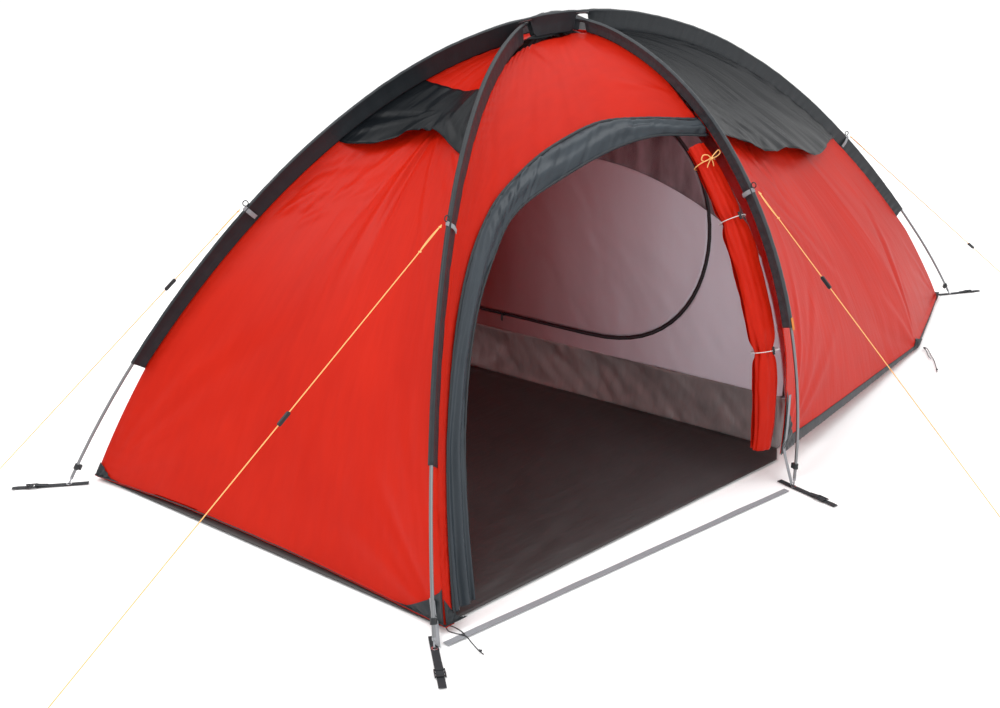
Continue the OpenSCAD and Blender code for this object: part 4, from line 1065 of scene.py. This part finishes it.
def polar(points):
    # distance from the door's middle to an outline, by angle
    pts = np.array(points + points[:1])
    steps = np.linspace(0, 1, 24, endpoint=False)[:, None]
    fine = np.concatenate([mix(p, q, steps) for p, q in zip(pts, pts[1:])])
    arms = fine - np.array(inner["middle"])
    angles, reach = np.arctan2(arms[:, 1], arms[:, 0]), np.linalg.norm(arms, axis=1)
    order = np.argsort(angles)
    return lambda angle: np.interp(angle, angles[order], reach[order], period=2 * np.pi)


def doorOutline(grow):
    x0, z0 = inner["middle"]
    reach, half, left = 0.4704 + grow, 0.41 + grow, inner["hingeX"] - grow
    turns = np.radians(np.arange(-90, 91, 6))
    free = [[x0 + reach * max(math.cos(a), 0) ** 0.8, z0 + half * math.sin(a)] for a in turns]
    top = [[mix(x0, left, k / 6), z0 + half - 0.23 * (k / 6) ** 2] for k in range(1, 7)]
    return free + top + [[left, z0 - half]]


def inWall(radius, angle):
    x0, z0 = inner["middle"]
    return x0 + radius * np.cos(angle), z0 + radius * np.sin(angle)


def meshLine(x):
    return 0.87 - 0.5 * x * x


def wallWaves(x, z, seed):
    broad, fine = ripple(x * 5 + z * 3, z * 5, seed), ripple(x * 24 + z * 16, z * 9 - x * 5, seed + 1)
    return 0.003 * broad + 0.0018 * fine


def wallSheet(name, body, above, ring, finish, slotName, cad, flat, area, seed):
    # one part of the front wall or of its door: cloth below the seam of the net, or net above it
    innerEdge, outerEdge = ring

    def place(a, b):
        angle = 2 * np.pi * a
        x, z = inWall(mix(innerEdge(angle), outerEdge(angle), b), angle)
        wave = wallWaves(x, z, seed) * smooth(0, 0.05, np.minimum(b if innerEdge(0.1) > 0 else 1.0, 1 - b))
        return vec(x, inner["front"] + wave, z)

    bm = gridCloth(480, 44, place, (1.0, 1.0), wrap=True)
    layer = bm.loops.layers.uv["weave"]
    faces = [f for f in bm.faces if (f.calc_center_median().z > meshLine(f.calc_center_median().x)) != above]
    bmesh.ops.delete(bm, geom=faces, context="FACES")
    for vert in bm.verts:
        gap = vert.co.z - meshLine(vert.co.x)
        if vert.is_boundary and abs(gap) < 0.012:
            vert.co.z -= gap
    for face in bm.faces:
        for loop in face.loops:
            loop[layer].uv = (loop.vert.co.x, loop.vert.co.z)
    made = settle(turnOut(bm, roomHeart), name, finish, body, slotName, cad, thickness=thickness["room"])


edge = [list(p) for p in np.stack(wallArch(np.linspace(0.012, 0.988, 60)), -1)]
edge = [p for p in edge if p[1] > inner["rim"]]
wallEdge = polar([[edge[0][0], inner["rim"]]] + edge + [[edge[-1][0], inner["rim"]]])
wallOpening, doorEdge = polar(doorOutline(0.0125)), polar(doorOutline(0.0))
wallRing, leafRing = (wallOpening, wallEdge), (lambda angle: 0 * angle, doorEdge)
wallSheets = [
    ("roomFrontWall", "tent", False, wallRing, "pale", "room_pale", ("room_front_wall",),
     (1.64, 0.6), 0.354, 60),
    ("roomFrontNet", "tent", True, wallRing, "net", "mesh_dark", ("room_front_mesh",),
     (1.1, 0.35), 0.137, 60),
    ("roomDoorCloth", "room_door", False, leafRing, "pale", "room_pale", ("room_door",),
     (0.98, 0.62), 0.53, 66),
    ("roomDoorNet", "room_door", True, leafRing, "net", "mesh_dark", ("room_door_mesh",),
     (0.9, 0.25), 0.16, 66),
]
for row in wallSheets:
    wallSheet(*row)
zipEdge = polar(doorOutline(0.0015))


def zipRing(a, b):
    angle = np.radians(mix(-141.0, 160.4, b))
    x, z = inWall(zipEdge(angle) + 0.013 * a, angle)
    return vec(x, inner["front"] - 0.0010 - 0.0014 * np.sin(np.pi * a), z)


zipTape = gridCloth(8, 420, zipRing, (0.013, 2.6))
zipLayer = zipTape.loops.layers.uv["weave"]
for face in zipTape.faces:
    for loop in face.loops:
        loop[zipLayer].uv.x -= 0.0065
zipStrip = settle(turnOut(zipTape, roomHeart), "roomZip", "zip", "tent", "zip_dark", ("room_zip",),
                  thickness=thickness["fly"])


def diagFollow(t):
    # the line under the pole where the room's roof and side meet
    p = diagCurve(t, 1)
    return p + inward(p, slope(lambda x: diagCurve(x, 1), t)) * 0.14


def ridge(v, side):
    v = np.asarray(v, float)
    q = diagFollow(mix(hoopAt + 0.03, 0.86, v))
    x, z = wallArch(0.535)
    start = np.array([x, inner["front"] + 0.0046, z - 0.004])
    w = mix(start, q, np.clip(v * 4, 0, 1)[..., None])
    return w * np.array([side, 1, 1])


endCorner = np.array([inner["endHalf"] - 0.008, inner["end"] - 0.012, inner["tubEnd"] - 0.006])


def roomSide(side):
    def front(v):
        x, z = wallArch(mix(0.985, 0.535, v))
        base = inner["tubHigh"] - 0.006
        x = np.where(v == 0, inner["half"] - 0.004, x - 0.002)
        z = np.where(v == 0, base, np.maximum(z, base + 0.2 * v))
        return vec(side * x, inner["front"] + 0.0046 + 0 * v, z)

    low = endCorner * np.array([side, 1, 1])
    return drawnIn(patch(line(front(np.array(0.0)), low), lambda u: ridge(u, side), front,
                         line(low, ridge(1.0, side))), 0.06)


def roofEdge(side):
    def edge(v):
        low = mix(endCorner * np.array([side, 1, 1]), ridge(1.0, side), np.clip(v / 0.08, 0, 1)[..., None])
        return np.where((v < 0.08)[..., None], low, ridge(np.clip(1 - (v - 0.08) / 0.92, 0, 1), side))

    return edge


leftEdge, rightEdge = roofEdge(-1), roofEdge(1)
roomTop = patch(line(leftEdge(np.array(0.0)), rightEdge(np.array(0.0))),
                line(ridge(0.0, -1), ridge(0.0, 1)), leftEdge, rightEdge)


def roomSheet(name, surface, cells, flat, area, cad, seed):
    def place(a, b):
        p = surface(a, b)
        n = surfaceNormal(surface, np.clip(a, 0.01, 0.99), np.clip(b, 0.01, 0.99))
        edge = smooth(0, 0.06, np.minimum(np.minimum(a, 1 - a), np.minimum(b, 1 - b)))
        wave = 0.006 * ripple(a * 5, b * 4, seed) + 0.003 * ripple(a * 16 + b * 9, b * 12, seed + 1)
        return p + n * (wave * edge)[..., None]

    sheet(name, place, cells, flat, "pale", "room_pale", (cad,), flat, area, centre=(0, 1.1, 0.3),
          thick="room")


roomSheet("roomSideRight", roomSide(1), (90, 50), (2.1, 1.15), 1.42, "room_side_right", 71)
roomSheet("roomSideLeft", roomSide(-1), (90, 50), (2.1, 1.15), 1.42, "room_side_left", 74)
roomSheet("roomRoof", roomTop, (40, 90), (0.95, 2.1), 1.4, "room_roof", 77)

tubPath = np.array([[-inner["half"], inner["front"]], [inner["half"], inner["front"]],
                    [inner["endHalf"], inner["end"]], [-inner["endHalf"], inner["end"]],
                    [-inner["half"], inner["front"]]])
tubLengths = np.concatenate([[0], np.cumsum(np.linalg.norm(np.diff(tubPath, axis=0), axis=1))])


def tubWall(a, b):
    s = a * tubLengths[-1]
    x, y = np.interp(s, tubLengths, tubPath[:, 0]), np.interp(s, tubLengths, tubPath[:, 1])
    high = mix(inner["tubHigh"], inner["tubEnd"],
               np.clip((y - inner["front"]) / (inner["end"] - inner["front"]), 0, 1))
    edge = np.min(np.abs(s[..., None] - tubLengths), axis=-1)
    out = unit(vec(x, y - 1.1, 0 * x))
    slant = s + b * 0.16
    wave = (0.009 * ripple(slant * 9, b * 1.6, 81) + 0.006 * ripple(slant * 26, b * 2.5, 82)
            + 0.004 * ripple((s - b * 0.1) * 20, b * 3, 83))
    inset = 0.006 + 0.010 * np.sin(np.pi * b) * smooth(0, 0.1, edge)
    hold = smooth(0.0, 0.12, np.minimum(b + 0.03, 1.06 - b)) * smooth(0, 0.03, edge + 0.006)
    return vec(x, y, high * b + 0.001) - out * (inset - wave * hold - 0.006)[..., None]


def tubFloor(a, b):
    y = mix(inner["front"], inner["end"], b)
    half = mix(inner["half"], inner["endHalf"], b)
    x = (2 * a - 1) * half
    edge = np.minimum(np.minimum(a, 1 - a), np.minimum(b, 1 - b))
    return vec(x, y, 0.0015 + 0.0045 * smooth(0, 0.1, edge) * (1 + ripple(x * 7, y * 7, 85)) * 0.5)


tubParts = [turnOut(gridCloth(420, 26, tubWall, (6.4, 0.18), wrap=True), (0, 1.1, 0)),
            gridCloth(60, 80, tubFloor, (1.6, 1.95))]
tub = settle(joined(tubParts), "tubCloth", "tub", "tent", "tub_brown", ("bathtub",),
             thickness=thickness["fly"], inwardShare=0.0)

sheetEdge = {"rear": 0.237, "wide": 0.845, "wideAt": 0.15, "front": -1.295, "narrow": 0.695}


def groundCloth(a, b):
    y = mix(sheetEdge["front"], sheetEdge["rear"], b)
    half = np.interp(y, [sheetEdge["front"], sheetEdge["wideAt"], sheetEdge["rear"]],
                     [sheetEdge["narrow"], sheetEdge["wide"], inner["half"]])
    x = (2 * a - 1) * half
    wave = 0.0035 * (1 + ripple(x * 4, y * 4, 91)) + 0.0022 * (1 + ripple(x * 9 + y * 13, y * 4 - x * 3, 92))
    reach, angle = np.hypot(x - 0.72, y + 1.3), np.arctan2(y + 1.3, x - 0.72)
    wave = wave + 0.004 * (1 + ripple(angle * 11, reach * 1.1, 93)) * smooth(0.05, 0.3, reach)
    edge = smooth(0, 0.05, np.minimum(np.minimum(a, 1 - a), np.minimum(b, 1 - b)))
    return vec(x, y, 0.0012 + wave * (0.25 + 0.75 * edge))


ground = settle(gridCloth(110, 110, groundCloth, (1.6, 1.53)), "groundSheet", "floor", "tent",
                "floor_brown", ("ground_sheet",), thickness=thickness["room"], inwardShare=1.0)
print("room ready")


# webbing, buckles and cords
feet = [((-tent["frontHalf"], -tent["frontReach"]), -130, "strap_front_left"),
        ((tent["frontHalf"], -tent["frontReach"]), -42, "strap_front_right"),
        ((tent["hoopHalf"], 0.0), -16, "strap_hoop_right"),
        ((-tent["hoopHalf"], 0.0), 196, "strap_hoop_left"),
        ((tent["rearHalf"], tent["rearReach"]), 57, "strap_rear_right"),
        ((-tent["rearHalf"], tent["rearReach"]), 123, "strap_rear_left")]
webbing = {"wide": 0.020, "thick": 0.0016, "tailThick": 0.0014}
buckleShape = {"sides": (-0.0138, 0.0108), "sideWide": 0.003, "ends": (0.0936, 0.1276), "bevel": 0.0008,
               "sideUp": (0.0018, 0.0062), "bars": (0.096, 0.110, 0.123), "barHalf": (0.0018, 0.0118),
               "barUp": (0.0022, 0.0058)}


def skin(bm, rings, layer, mapAt):
    # closes rings of corners into a solid; mapAt gives the map of a ring's corner
    n = len(rings[0])
    for i in range(len(rings) - 1):
        for k in range(n):
            corners = ((i, k), (i, k + 1), (i + 1, k + 1), (i + 1, k))
            face = bm.faces.new([rings[r][q % n] for r, q in corners])
            for loop, (r, q) in zip(face.loops, corners):
                loop[layer].uv = mapAt(r, q)
    for ring in (rings[0], rings[-1]):
        bm.faces.new(ring)


def ribbon(points, wide, thick, turn=0.0, at=(0, 0), bm=None):
    # a flat strap along points given as (along, up), turned about z and moved to a foot
    bm = bm or bmesh.new()
    layer = bm.loops.layers.uv.get("weave") or bm.loops.layers.uv.new("weave")
    pts = through(points, np.linspace(0, 1, 12 * (len(points) - 1) + 1))
    d = unit(np.gradient(pts, axis=0))
    up = np.stack([-d[:, 1], d[:, 0]], -1)
    runs = np.concatenate([[0], np.cumsum(np.linalg.norm(np.diff(pts, axis=0), axis=1))])
    c, s = math.cos(math.radians(turn)), math.sin(math.radians(turn))
    rings = []
    half, soft = wide / 2, thick * 0.35
    section = [(-half, -0.5), (-half + soft, -0.5), (half - soft, -0.5), (half, -0.5),
               (half, 0.5), (half - soft, 0.5), (-half + soft, 0.5), (-half, 0.5)]
    for p, n in zip(pts, up):
        ring = []
        for k, (y, h) in enumerate(section):
            h = h * thick * (0.6 if k in (0, 3, 4, 7) else 1.0)
            x, z = p + n * h
            ring.append(bm.verts.new((at[0] + c * x - s * y, at[1] + s * x + c * y, z)))
        rings.append(ring)
    skin(bm, rings, layer, lambda r, q: (section[q % len(section)][0], runs[r]))
    return bm


def finishSolid(bm, bevel=0.0):
    if bevel > 0:
        sharp = [e for e in bm.edges if len(e.link_faces) == 2 and e.calc_face_angle(0) > 0.6]
        bmesh.ops.bevel(bm, geom=sharp, offset=bevel, segments=2, profile=0.5, affect="EDGES", material=-1)
    bmesh.ops.recalc_face_normals(bm, faces=bm.faces)
    return bm


def box(bm, low, high, turn, at):
    made = bmesh.ops.create_cube(bm, size=1.0)["verts"]
    c, s = math.cos(math.radians(turn)), math.sin(math.radians(turn))
    for vert in made:
        x, y, z = [mix(l, h, k + 0.5) for l, h, k in zip(low, high, vert.co)]
        vert.co = (at[0] + c * x - s * y, at[1] + s * x + c * y, z)


strapMesh = bmesh.new()
for at, turn, body in feet:
    t = webbing["thick"]
    sag = [(-0.058, t / 2 + 0.0002), (-0.03, t / 2), (0.0, t / 2), (0.04, t / 2 + 0.0004),
           (0.07, t / 2 + 0.0006), (0.088, 0.0012), (0.0975, 0.0016), (0.1, 0.0045), (0.0965, 0.0072),
           (0.088, 0.0052), (0.062, 0.0028)]
    ribbon(sag, webbing["wide"], t, turn, at, strapMesh)
    holder = bmesh.new()
    (x0, x1), (z0, z1) = buckleShape["ends"], buckleShape["sideUp"]
    for y in buckleShape["sides"]:
        box(holder, (x0, y, z0), (x1, y + buckleShape["sideWide"], z1), turn, at)
    (dx, dy), (z0, z1) = buckleShape["barHalf"], buckleShape["barUp"]
    for x in buckleShape["bars"]:
        box(holder, (x - dx, -dy, z0), (x + dx, dy, z1), turn, at)
    finishSolid(holder, buckleShape["bevel"])
    for face in holder.faces:
        face.material_index = 1
    holder.loops.layers.uv.new("weave")
    tail = [(0.1034, 0.005), (0.1064, 0.0066), (0.110, 0.007), (0.114, 0.0056), (0.1166, 0.004),
            (0.119, 0.002), (0.123, 0.001), (0.131, 0.0011), (0.15, 0.0018), (0.167, 0.0011)]
    ribbon(tail, webbing["wide"] - 0.001, webbing["tailThick"], turn, at, holder)
    bmesh.ops.recalc_face_normals(holder, faces=holder.faces)
    buckle = settle(holder, body.replace("strap_", "buckle_"), "webDark", body, "webbing_grey", (body,),
                    smoothShade=False)
    buckle.data.materials.append(finishes["plastic"])
finishSolid(strapMesh)
settle(strapMesh, "footStraps", "webDark", "tent", "webbing_dark", ("foot_straps",), smoothShade=False)

# the strap that lies across the doorway, from the right front foot to the hoop's
sill = {"margin": 0.034, "waves": 12}
start, end = np.array(feet[1][0]), np.array(feet[2][0])
along = (end - start) / np.linalg.norm(end - start)
run = np.linalg.norm(end - start) - 2 * sill["margin"]
turn = math.degrees(math.atan2(along[1], along[0]))
laid = [(run * k / sill["waves"], 0.0009 + 0.0009 * (k % 3 == 1) + 0.0006 * (k % 4 == 2))
        for k in range(sill["waves"] + 1)]
threshold = finishSolid(ribbon(laid, webbing["wide"], webbing["thick"], turn,
                               tuple(start + along * sill["margin"])))
settle(threshold, "threshold", "webGrey", "tent", "webbing_grey", ("door_threshold",), smoothShade=False)


def tube(points, radius, sides=10):
    # a round cord through points, with its map: x round it, y along it in metres
    bm = bmesh.new()
    layer = bm.loops.layers.uv.new("weave")
    pts = np.array(points)
    d = unit(np.gradient(pts, axis=0))
    up = np.array([0.0, 0.0, 1.0])
    rings, runs = [], np.concatenate([[0], np.cumsum(np.linalg.norm(np.diff(pts, axis=0), axis=1))])
    e = unit(np.cross(d[0], up if abs(d[0][2]) < 0.9 else np.array([1.0, 0, 0])))
    for p, t in zip(pts, d):
        e = unit(e - np.dot(e, t) * t)
        f = np.cross(t, e)
        angles = np.arange(sides) * 2 * np.pi / sides
        rings.append([bm.verts.new(p + radius * (math.cos(a) * e + math.sin(a) * f)) for a in angles])
    skin(bm, rings, layer, lambda r, q: (q / sides, runs[r]))
    bmesh.ops.recalc_face_normals(bm, faces=bm.faces)
    return bm


def knot(centre, size, finish, name, slotName):
    # an overhand knot: a short cord wound over itself
    s = np.linspace(0.15, 2 * np.pi - 0.15, 60)
    pts = vec(np.sin(s) + 2 * np.sin(2 * s), np.cos(s) - 2 * np.cos(2 * s), -np.sin(3 * s)) * size / 3
    return settle(tube(pts + np.array(centre), size * 0.42, sides=8), name, finish, "tent", slotName)


guys = {
    "FrontLeft": ((-0.3934, -0.93, 0.8382), (-0.82, -1.69, 0.008), (-0.354, -0.631, -0.690),
                  "guy_front_left"),
    "FrontRight": ((0.3565, -0.8818, 0.8904), (0.30, -2.16, 0.008), (-0.036, -0.822, -0.568),
                   "guy_front_right"),
    "SideRight": ((0.7511, 0.0738, 0.8803), (1.65, 0.03, 0.008), (0.717, -0.035, -0.696), "guy_side_right"),
    "RearRight": ((0.3941, 1.4906, 0.8306), (0.83, 2.58, 0.008), (0.304, 0.760, -0.574), "guy_rear_right"),
}
for name, (ring, anchor, aim, cad) in guys.items():
    start = np.array(ring) + np.array(aim) * 0.0121
    end = np.array(anchor)
    aimed = unit(end - start)
    side = unit(np.cross(aimed, np.array([0, 0, 1.0])))
    mainLine = mix(start, end, np.linspace(0, 1, 120)[:, None])
    guy = settle(tube(mainLine, 0.0015), "guy" + name, "guy", "tent", "line_orange", (cad,))
    share = np.linspace(0, 1, 24)
    apart = 0.0042 * np.sin(np.pi * share) ** 0.6
    doubled = start + aimed * (0.008 + 0.09 * share)[:, None] + side * apart[:, None]
    settle(tube(doubled, 0.0014), "strand" + name, "guy", "tent", "line_orange")
    knot(start + aimed * 0.008, 0.0032, "guyPlain", "knotHigh" + name, "line_orange")
    knot(start + aimed * 0.10, 0.0034, "guyPlain", "knotLow" + name, "line_orange")
    [tuple(p) for p in mainLine]

pegLoops = {
    "Front": ([[0.766, -1.29, 0.0052], [0.744, -1.281, 0.003], [0.722, -1.285, 0.008], [0.714, -1.297, 0.012],
               [0.726, -1.304, 0.006], [0.748, -1.299, 0.004], [0.772, -1.293, 0.0042], [0.8, -1.305, 0.003],
               [0.83, -1.318, 0.002], [0.856, -1.327, 0.002]], "peg_loop_front"),
    "Side": ([[0.842, 1.432, 0.0052], [0.812, 1.478, 0.003], [0.788, 1.52, 0.005], [0.768, 1.54, 0.009],
              [0.78, 1.548, 0.005], [0.816, 1.494, 0.002], [0.852, 1.436, 0.002], [0.878, 1.386, 0.002],
              [0.9, 1.342, 0.002], [0.916, 1.306, 0.002]], "peg_loop_side"),
}
for name, (points, cad) in pegLoops.items():
    way = through(points, np.linspace(0, 1, 110))
    way[:, 2] = np.maximum(way[:, 2], 0.0017)
    loop = settle(tube(way, 0.0015), "pegLoop" + name, "black", "tent", "cord_dark", (cad,))
    knot(way[30] + np.array([0, 0, 0.002]), 0.0034, "blackPlain", "pegKnotA" + name, "cord_dark")
    knot(way[-8] + np.array([0, 0, 0.003]), 0.0034, "blackPlain", "pegKnotB" + name, "cord_dark")
    tuple(way[0])
    [tuple(p) for p in way]


def strap(points, side, wide, name, finish, slotName):
    # a short flat strip of webbing through points in space
    side = unit(np.array(side, float))

    def place(a, b):
        return through(points, b) + side * ((a - 0.5) * wide)[..., None]

    length = float(np.linalg.norm(np.diff(np.array(points), axis=0), axis=1).sum())
    made = settle(gridCloth(3, 40, place, (wide, length)), name, finish, "tent", slotName,
                  thickness=thickness["strap"], inwardShare=0.0)


ringPoles = {"FrontLeft": 0, "FrontRight": 1, "SideRight": 2, "RearRight": 0}
fine = np.linspace(0.05, 0.95, 3000)
for name, (ring, anchor, aim, cad) in guys.items():
    path = paths[ringPoles[name]]
    t = fine[np.argmin(np.linalg.norm(path(fine) - np.array(ring), axis=1))]
    pole, along = path(t), unit(path(t + 0.003) - path(t - 0.003))
    n = inward(pole, along)
    out = unit(np.array(ring) - pole)
    across = unit(np.cross(along, out))
    strap([pole + n * 0.034 + across * 0.009, pole + n * 0.012 + across * 0.0105,
           pole + out * 0.010 + across * 0.003, np.array(ring) - out * 0.0065],
          along, 0.014, "ringTab" + name, "webGrey", "webbing_grey")

for panel, u, heights, foot, span, name in (
        ("front", 0.975, (0.004, 0.03, 0.06, 0.09), (0.752, -1.372, 0.006), (0.9, 1.0), "cornerStripFront"),
        ("right", 0.012, (0.004, 0.03, 0.06, 0.10), (0.972, 0.004, 0.006), (0.0, 0.1), "cornerStripHoop")):
    surface = panels[panel]["surface"]
    across = surface(np.array(span[1]), np.array(0.05)) - surface(np.array(span[0]), np.array(0.05))
    strap([np.array(foot)] + [onPanel(panel, np.array(u), np.array(v), 0.006) for v in heights],
          across, 0.020, name, "webGrey", "webbing_grey")

cuff = paths[2]
cuffT = np.linspace(0.878, 0.887, 12)
cuffPoints = [cuff(t) - inward(cuff(t), slope(cuff, t)) * 0.0105 for t in cuffT]
strap(cuffPoints, (0, 1, 0), 0.012, "sleeveTrim", "orangeWeb", "line_orange")

# an orange cord bow that ties the top of the rolled door
centre, n0, b0 = [x[0] for x in rollFrame(np.array([0.93]))]
out = -n0
turns = np.linspace(0, 2 * np.pi, 15)
ring = [centre + b0 * math.cos(a) * 0.036 + n0 * (0.024 + math.sin(a) * 0.03) for a in turns]
settle(tube(through(ring, np.linspace(0, 1, 90)), 0.0017), "bowRing", "guy", "tent", "line_orange")
tieAt = centre + out * 0.009
bow = {
    "LoopA": [(0, 0), (0.014, 0.012), (0.034, 0.016), (0.04, 0.004), (0.026, -0.004), (0.004, 0)],
    "LoopB": [(0, 0), (-0.014, 0.010), (-0.03, 0.018), (-0.038, 0.008), (-0.024, 0.0), (-0.004, 0)],
    "TailA": [(0, 0), (0.012, -0.02), (0.016, -0.045), (0.008, -0.07)],
    "TailB": [(0, 0), (-0.01, -0.016), (-0.016, -0.04), (-0.024, -0.058)],
}
for name, bend in bow.items():
    way = [tieAt + b0 * x + np.array([0, 0, 1.0]) * z + out * 0.004 for x, z in bend]
    settle(tube(through(way, np.linspace(0, 1, 40)), 0.0016), "bow" + name, "guy", "tent", "line_orange")
knot(tieAt + out * 0.004, 0.0042, "guyPlain", "bowKnot", "line_orange")
print("webbing and cords ready")


studio = Finish("studioFloor")
finishes["studio"] = studio.done(Base_Color=(0.95, 0.95, 0.95), Roughness=0.8)

nodeFinish = {
    "pole_left_front": "poleMetal", "pole_right_front": "poleMetal", "pole_hoop": "poleMetal",
    "pole_inserts": "insertMetal", "shock_cords": "elastic", "pole_tips": "insertMetal",
    "pole_clips": "plastic", "foot_grommets": "brightMetal", "guy_rings": "plastic",
    "toggle_upper": "plastic", "toggle_lower": "plastic", "toggle_ties": "elastic",
    "zip_slider": "blackMetal", "zip_puller": "blackMetal", "tensioner_front_left": "plastic",
    "tensioner_front_right": "plastic", "tensioner_side_right": "plastic",
    "tensioner_rear_right": "plastic",
}
for name, finish in nodeFinish.items():
    nodes[name].data.materials.clear()
    nodes[name].data.materials.append(finishes[finish])


# soft light and a pale floor
floorMesh = bmesh.new()
bmesh.ops.create_grid(floorMesh, x_segments=1, y_segments=1, size=60)
mesh = bpy.data.meshes.new("floor")
floorMesh.to_mesh(mesh)
floorMesh.free()
mesh.materials.append(finishes["studio"])
studioFloor = bpy.data.objects.new("floor", mesh)
studioFloor.location = (0, 0, -0.003)
scene.collection.objects.link(studioFloor)

lights = {
    "key": {"at": (-2.5, -4.0, 6.0), "aim": (0, 0.4, 0.4), "size": 4.0, "power": 210},
    "fill": {"at": (6.0, -1.0, 4.5), "aim": (0, 0.6, 0.5), "size": 5.0, "power": 90},
    "top": {"at": (0.5, 2.0, 7.0), "aim": (0, 0.6, 0), "size": 6.0, "power": 150},
}
for name, spec in lights.items():
    lamp = bpy.data.lights.new(name, "AREA")
    lamp.shape = "DISK"
    lamp.size = spec["size"]
    lamp.energy = spec["power"]
    obj = bpy.data.objects.new(name, lamp)
    obj.location = spec["at"]
    obj.rotation_euler = (Vector(spec["aim"]) - Vector(spec["at"])).to_track_quat("-Z", "Y").to_euler()
    scene.collection.objects.link(obj)

world = bpy.data.worlds.new("world")
world.use_nodes = True
world.node_tree.nodes["Background"].inputs["Color"].default_value = (1, 1, 1, 1)
world.node_tree.nodes["Background"].inputs["Strength"].default_value = 1.1
scene.world = world
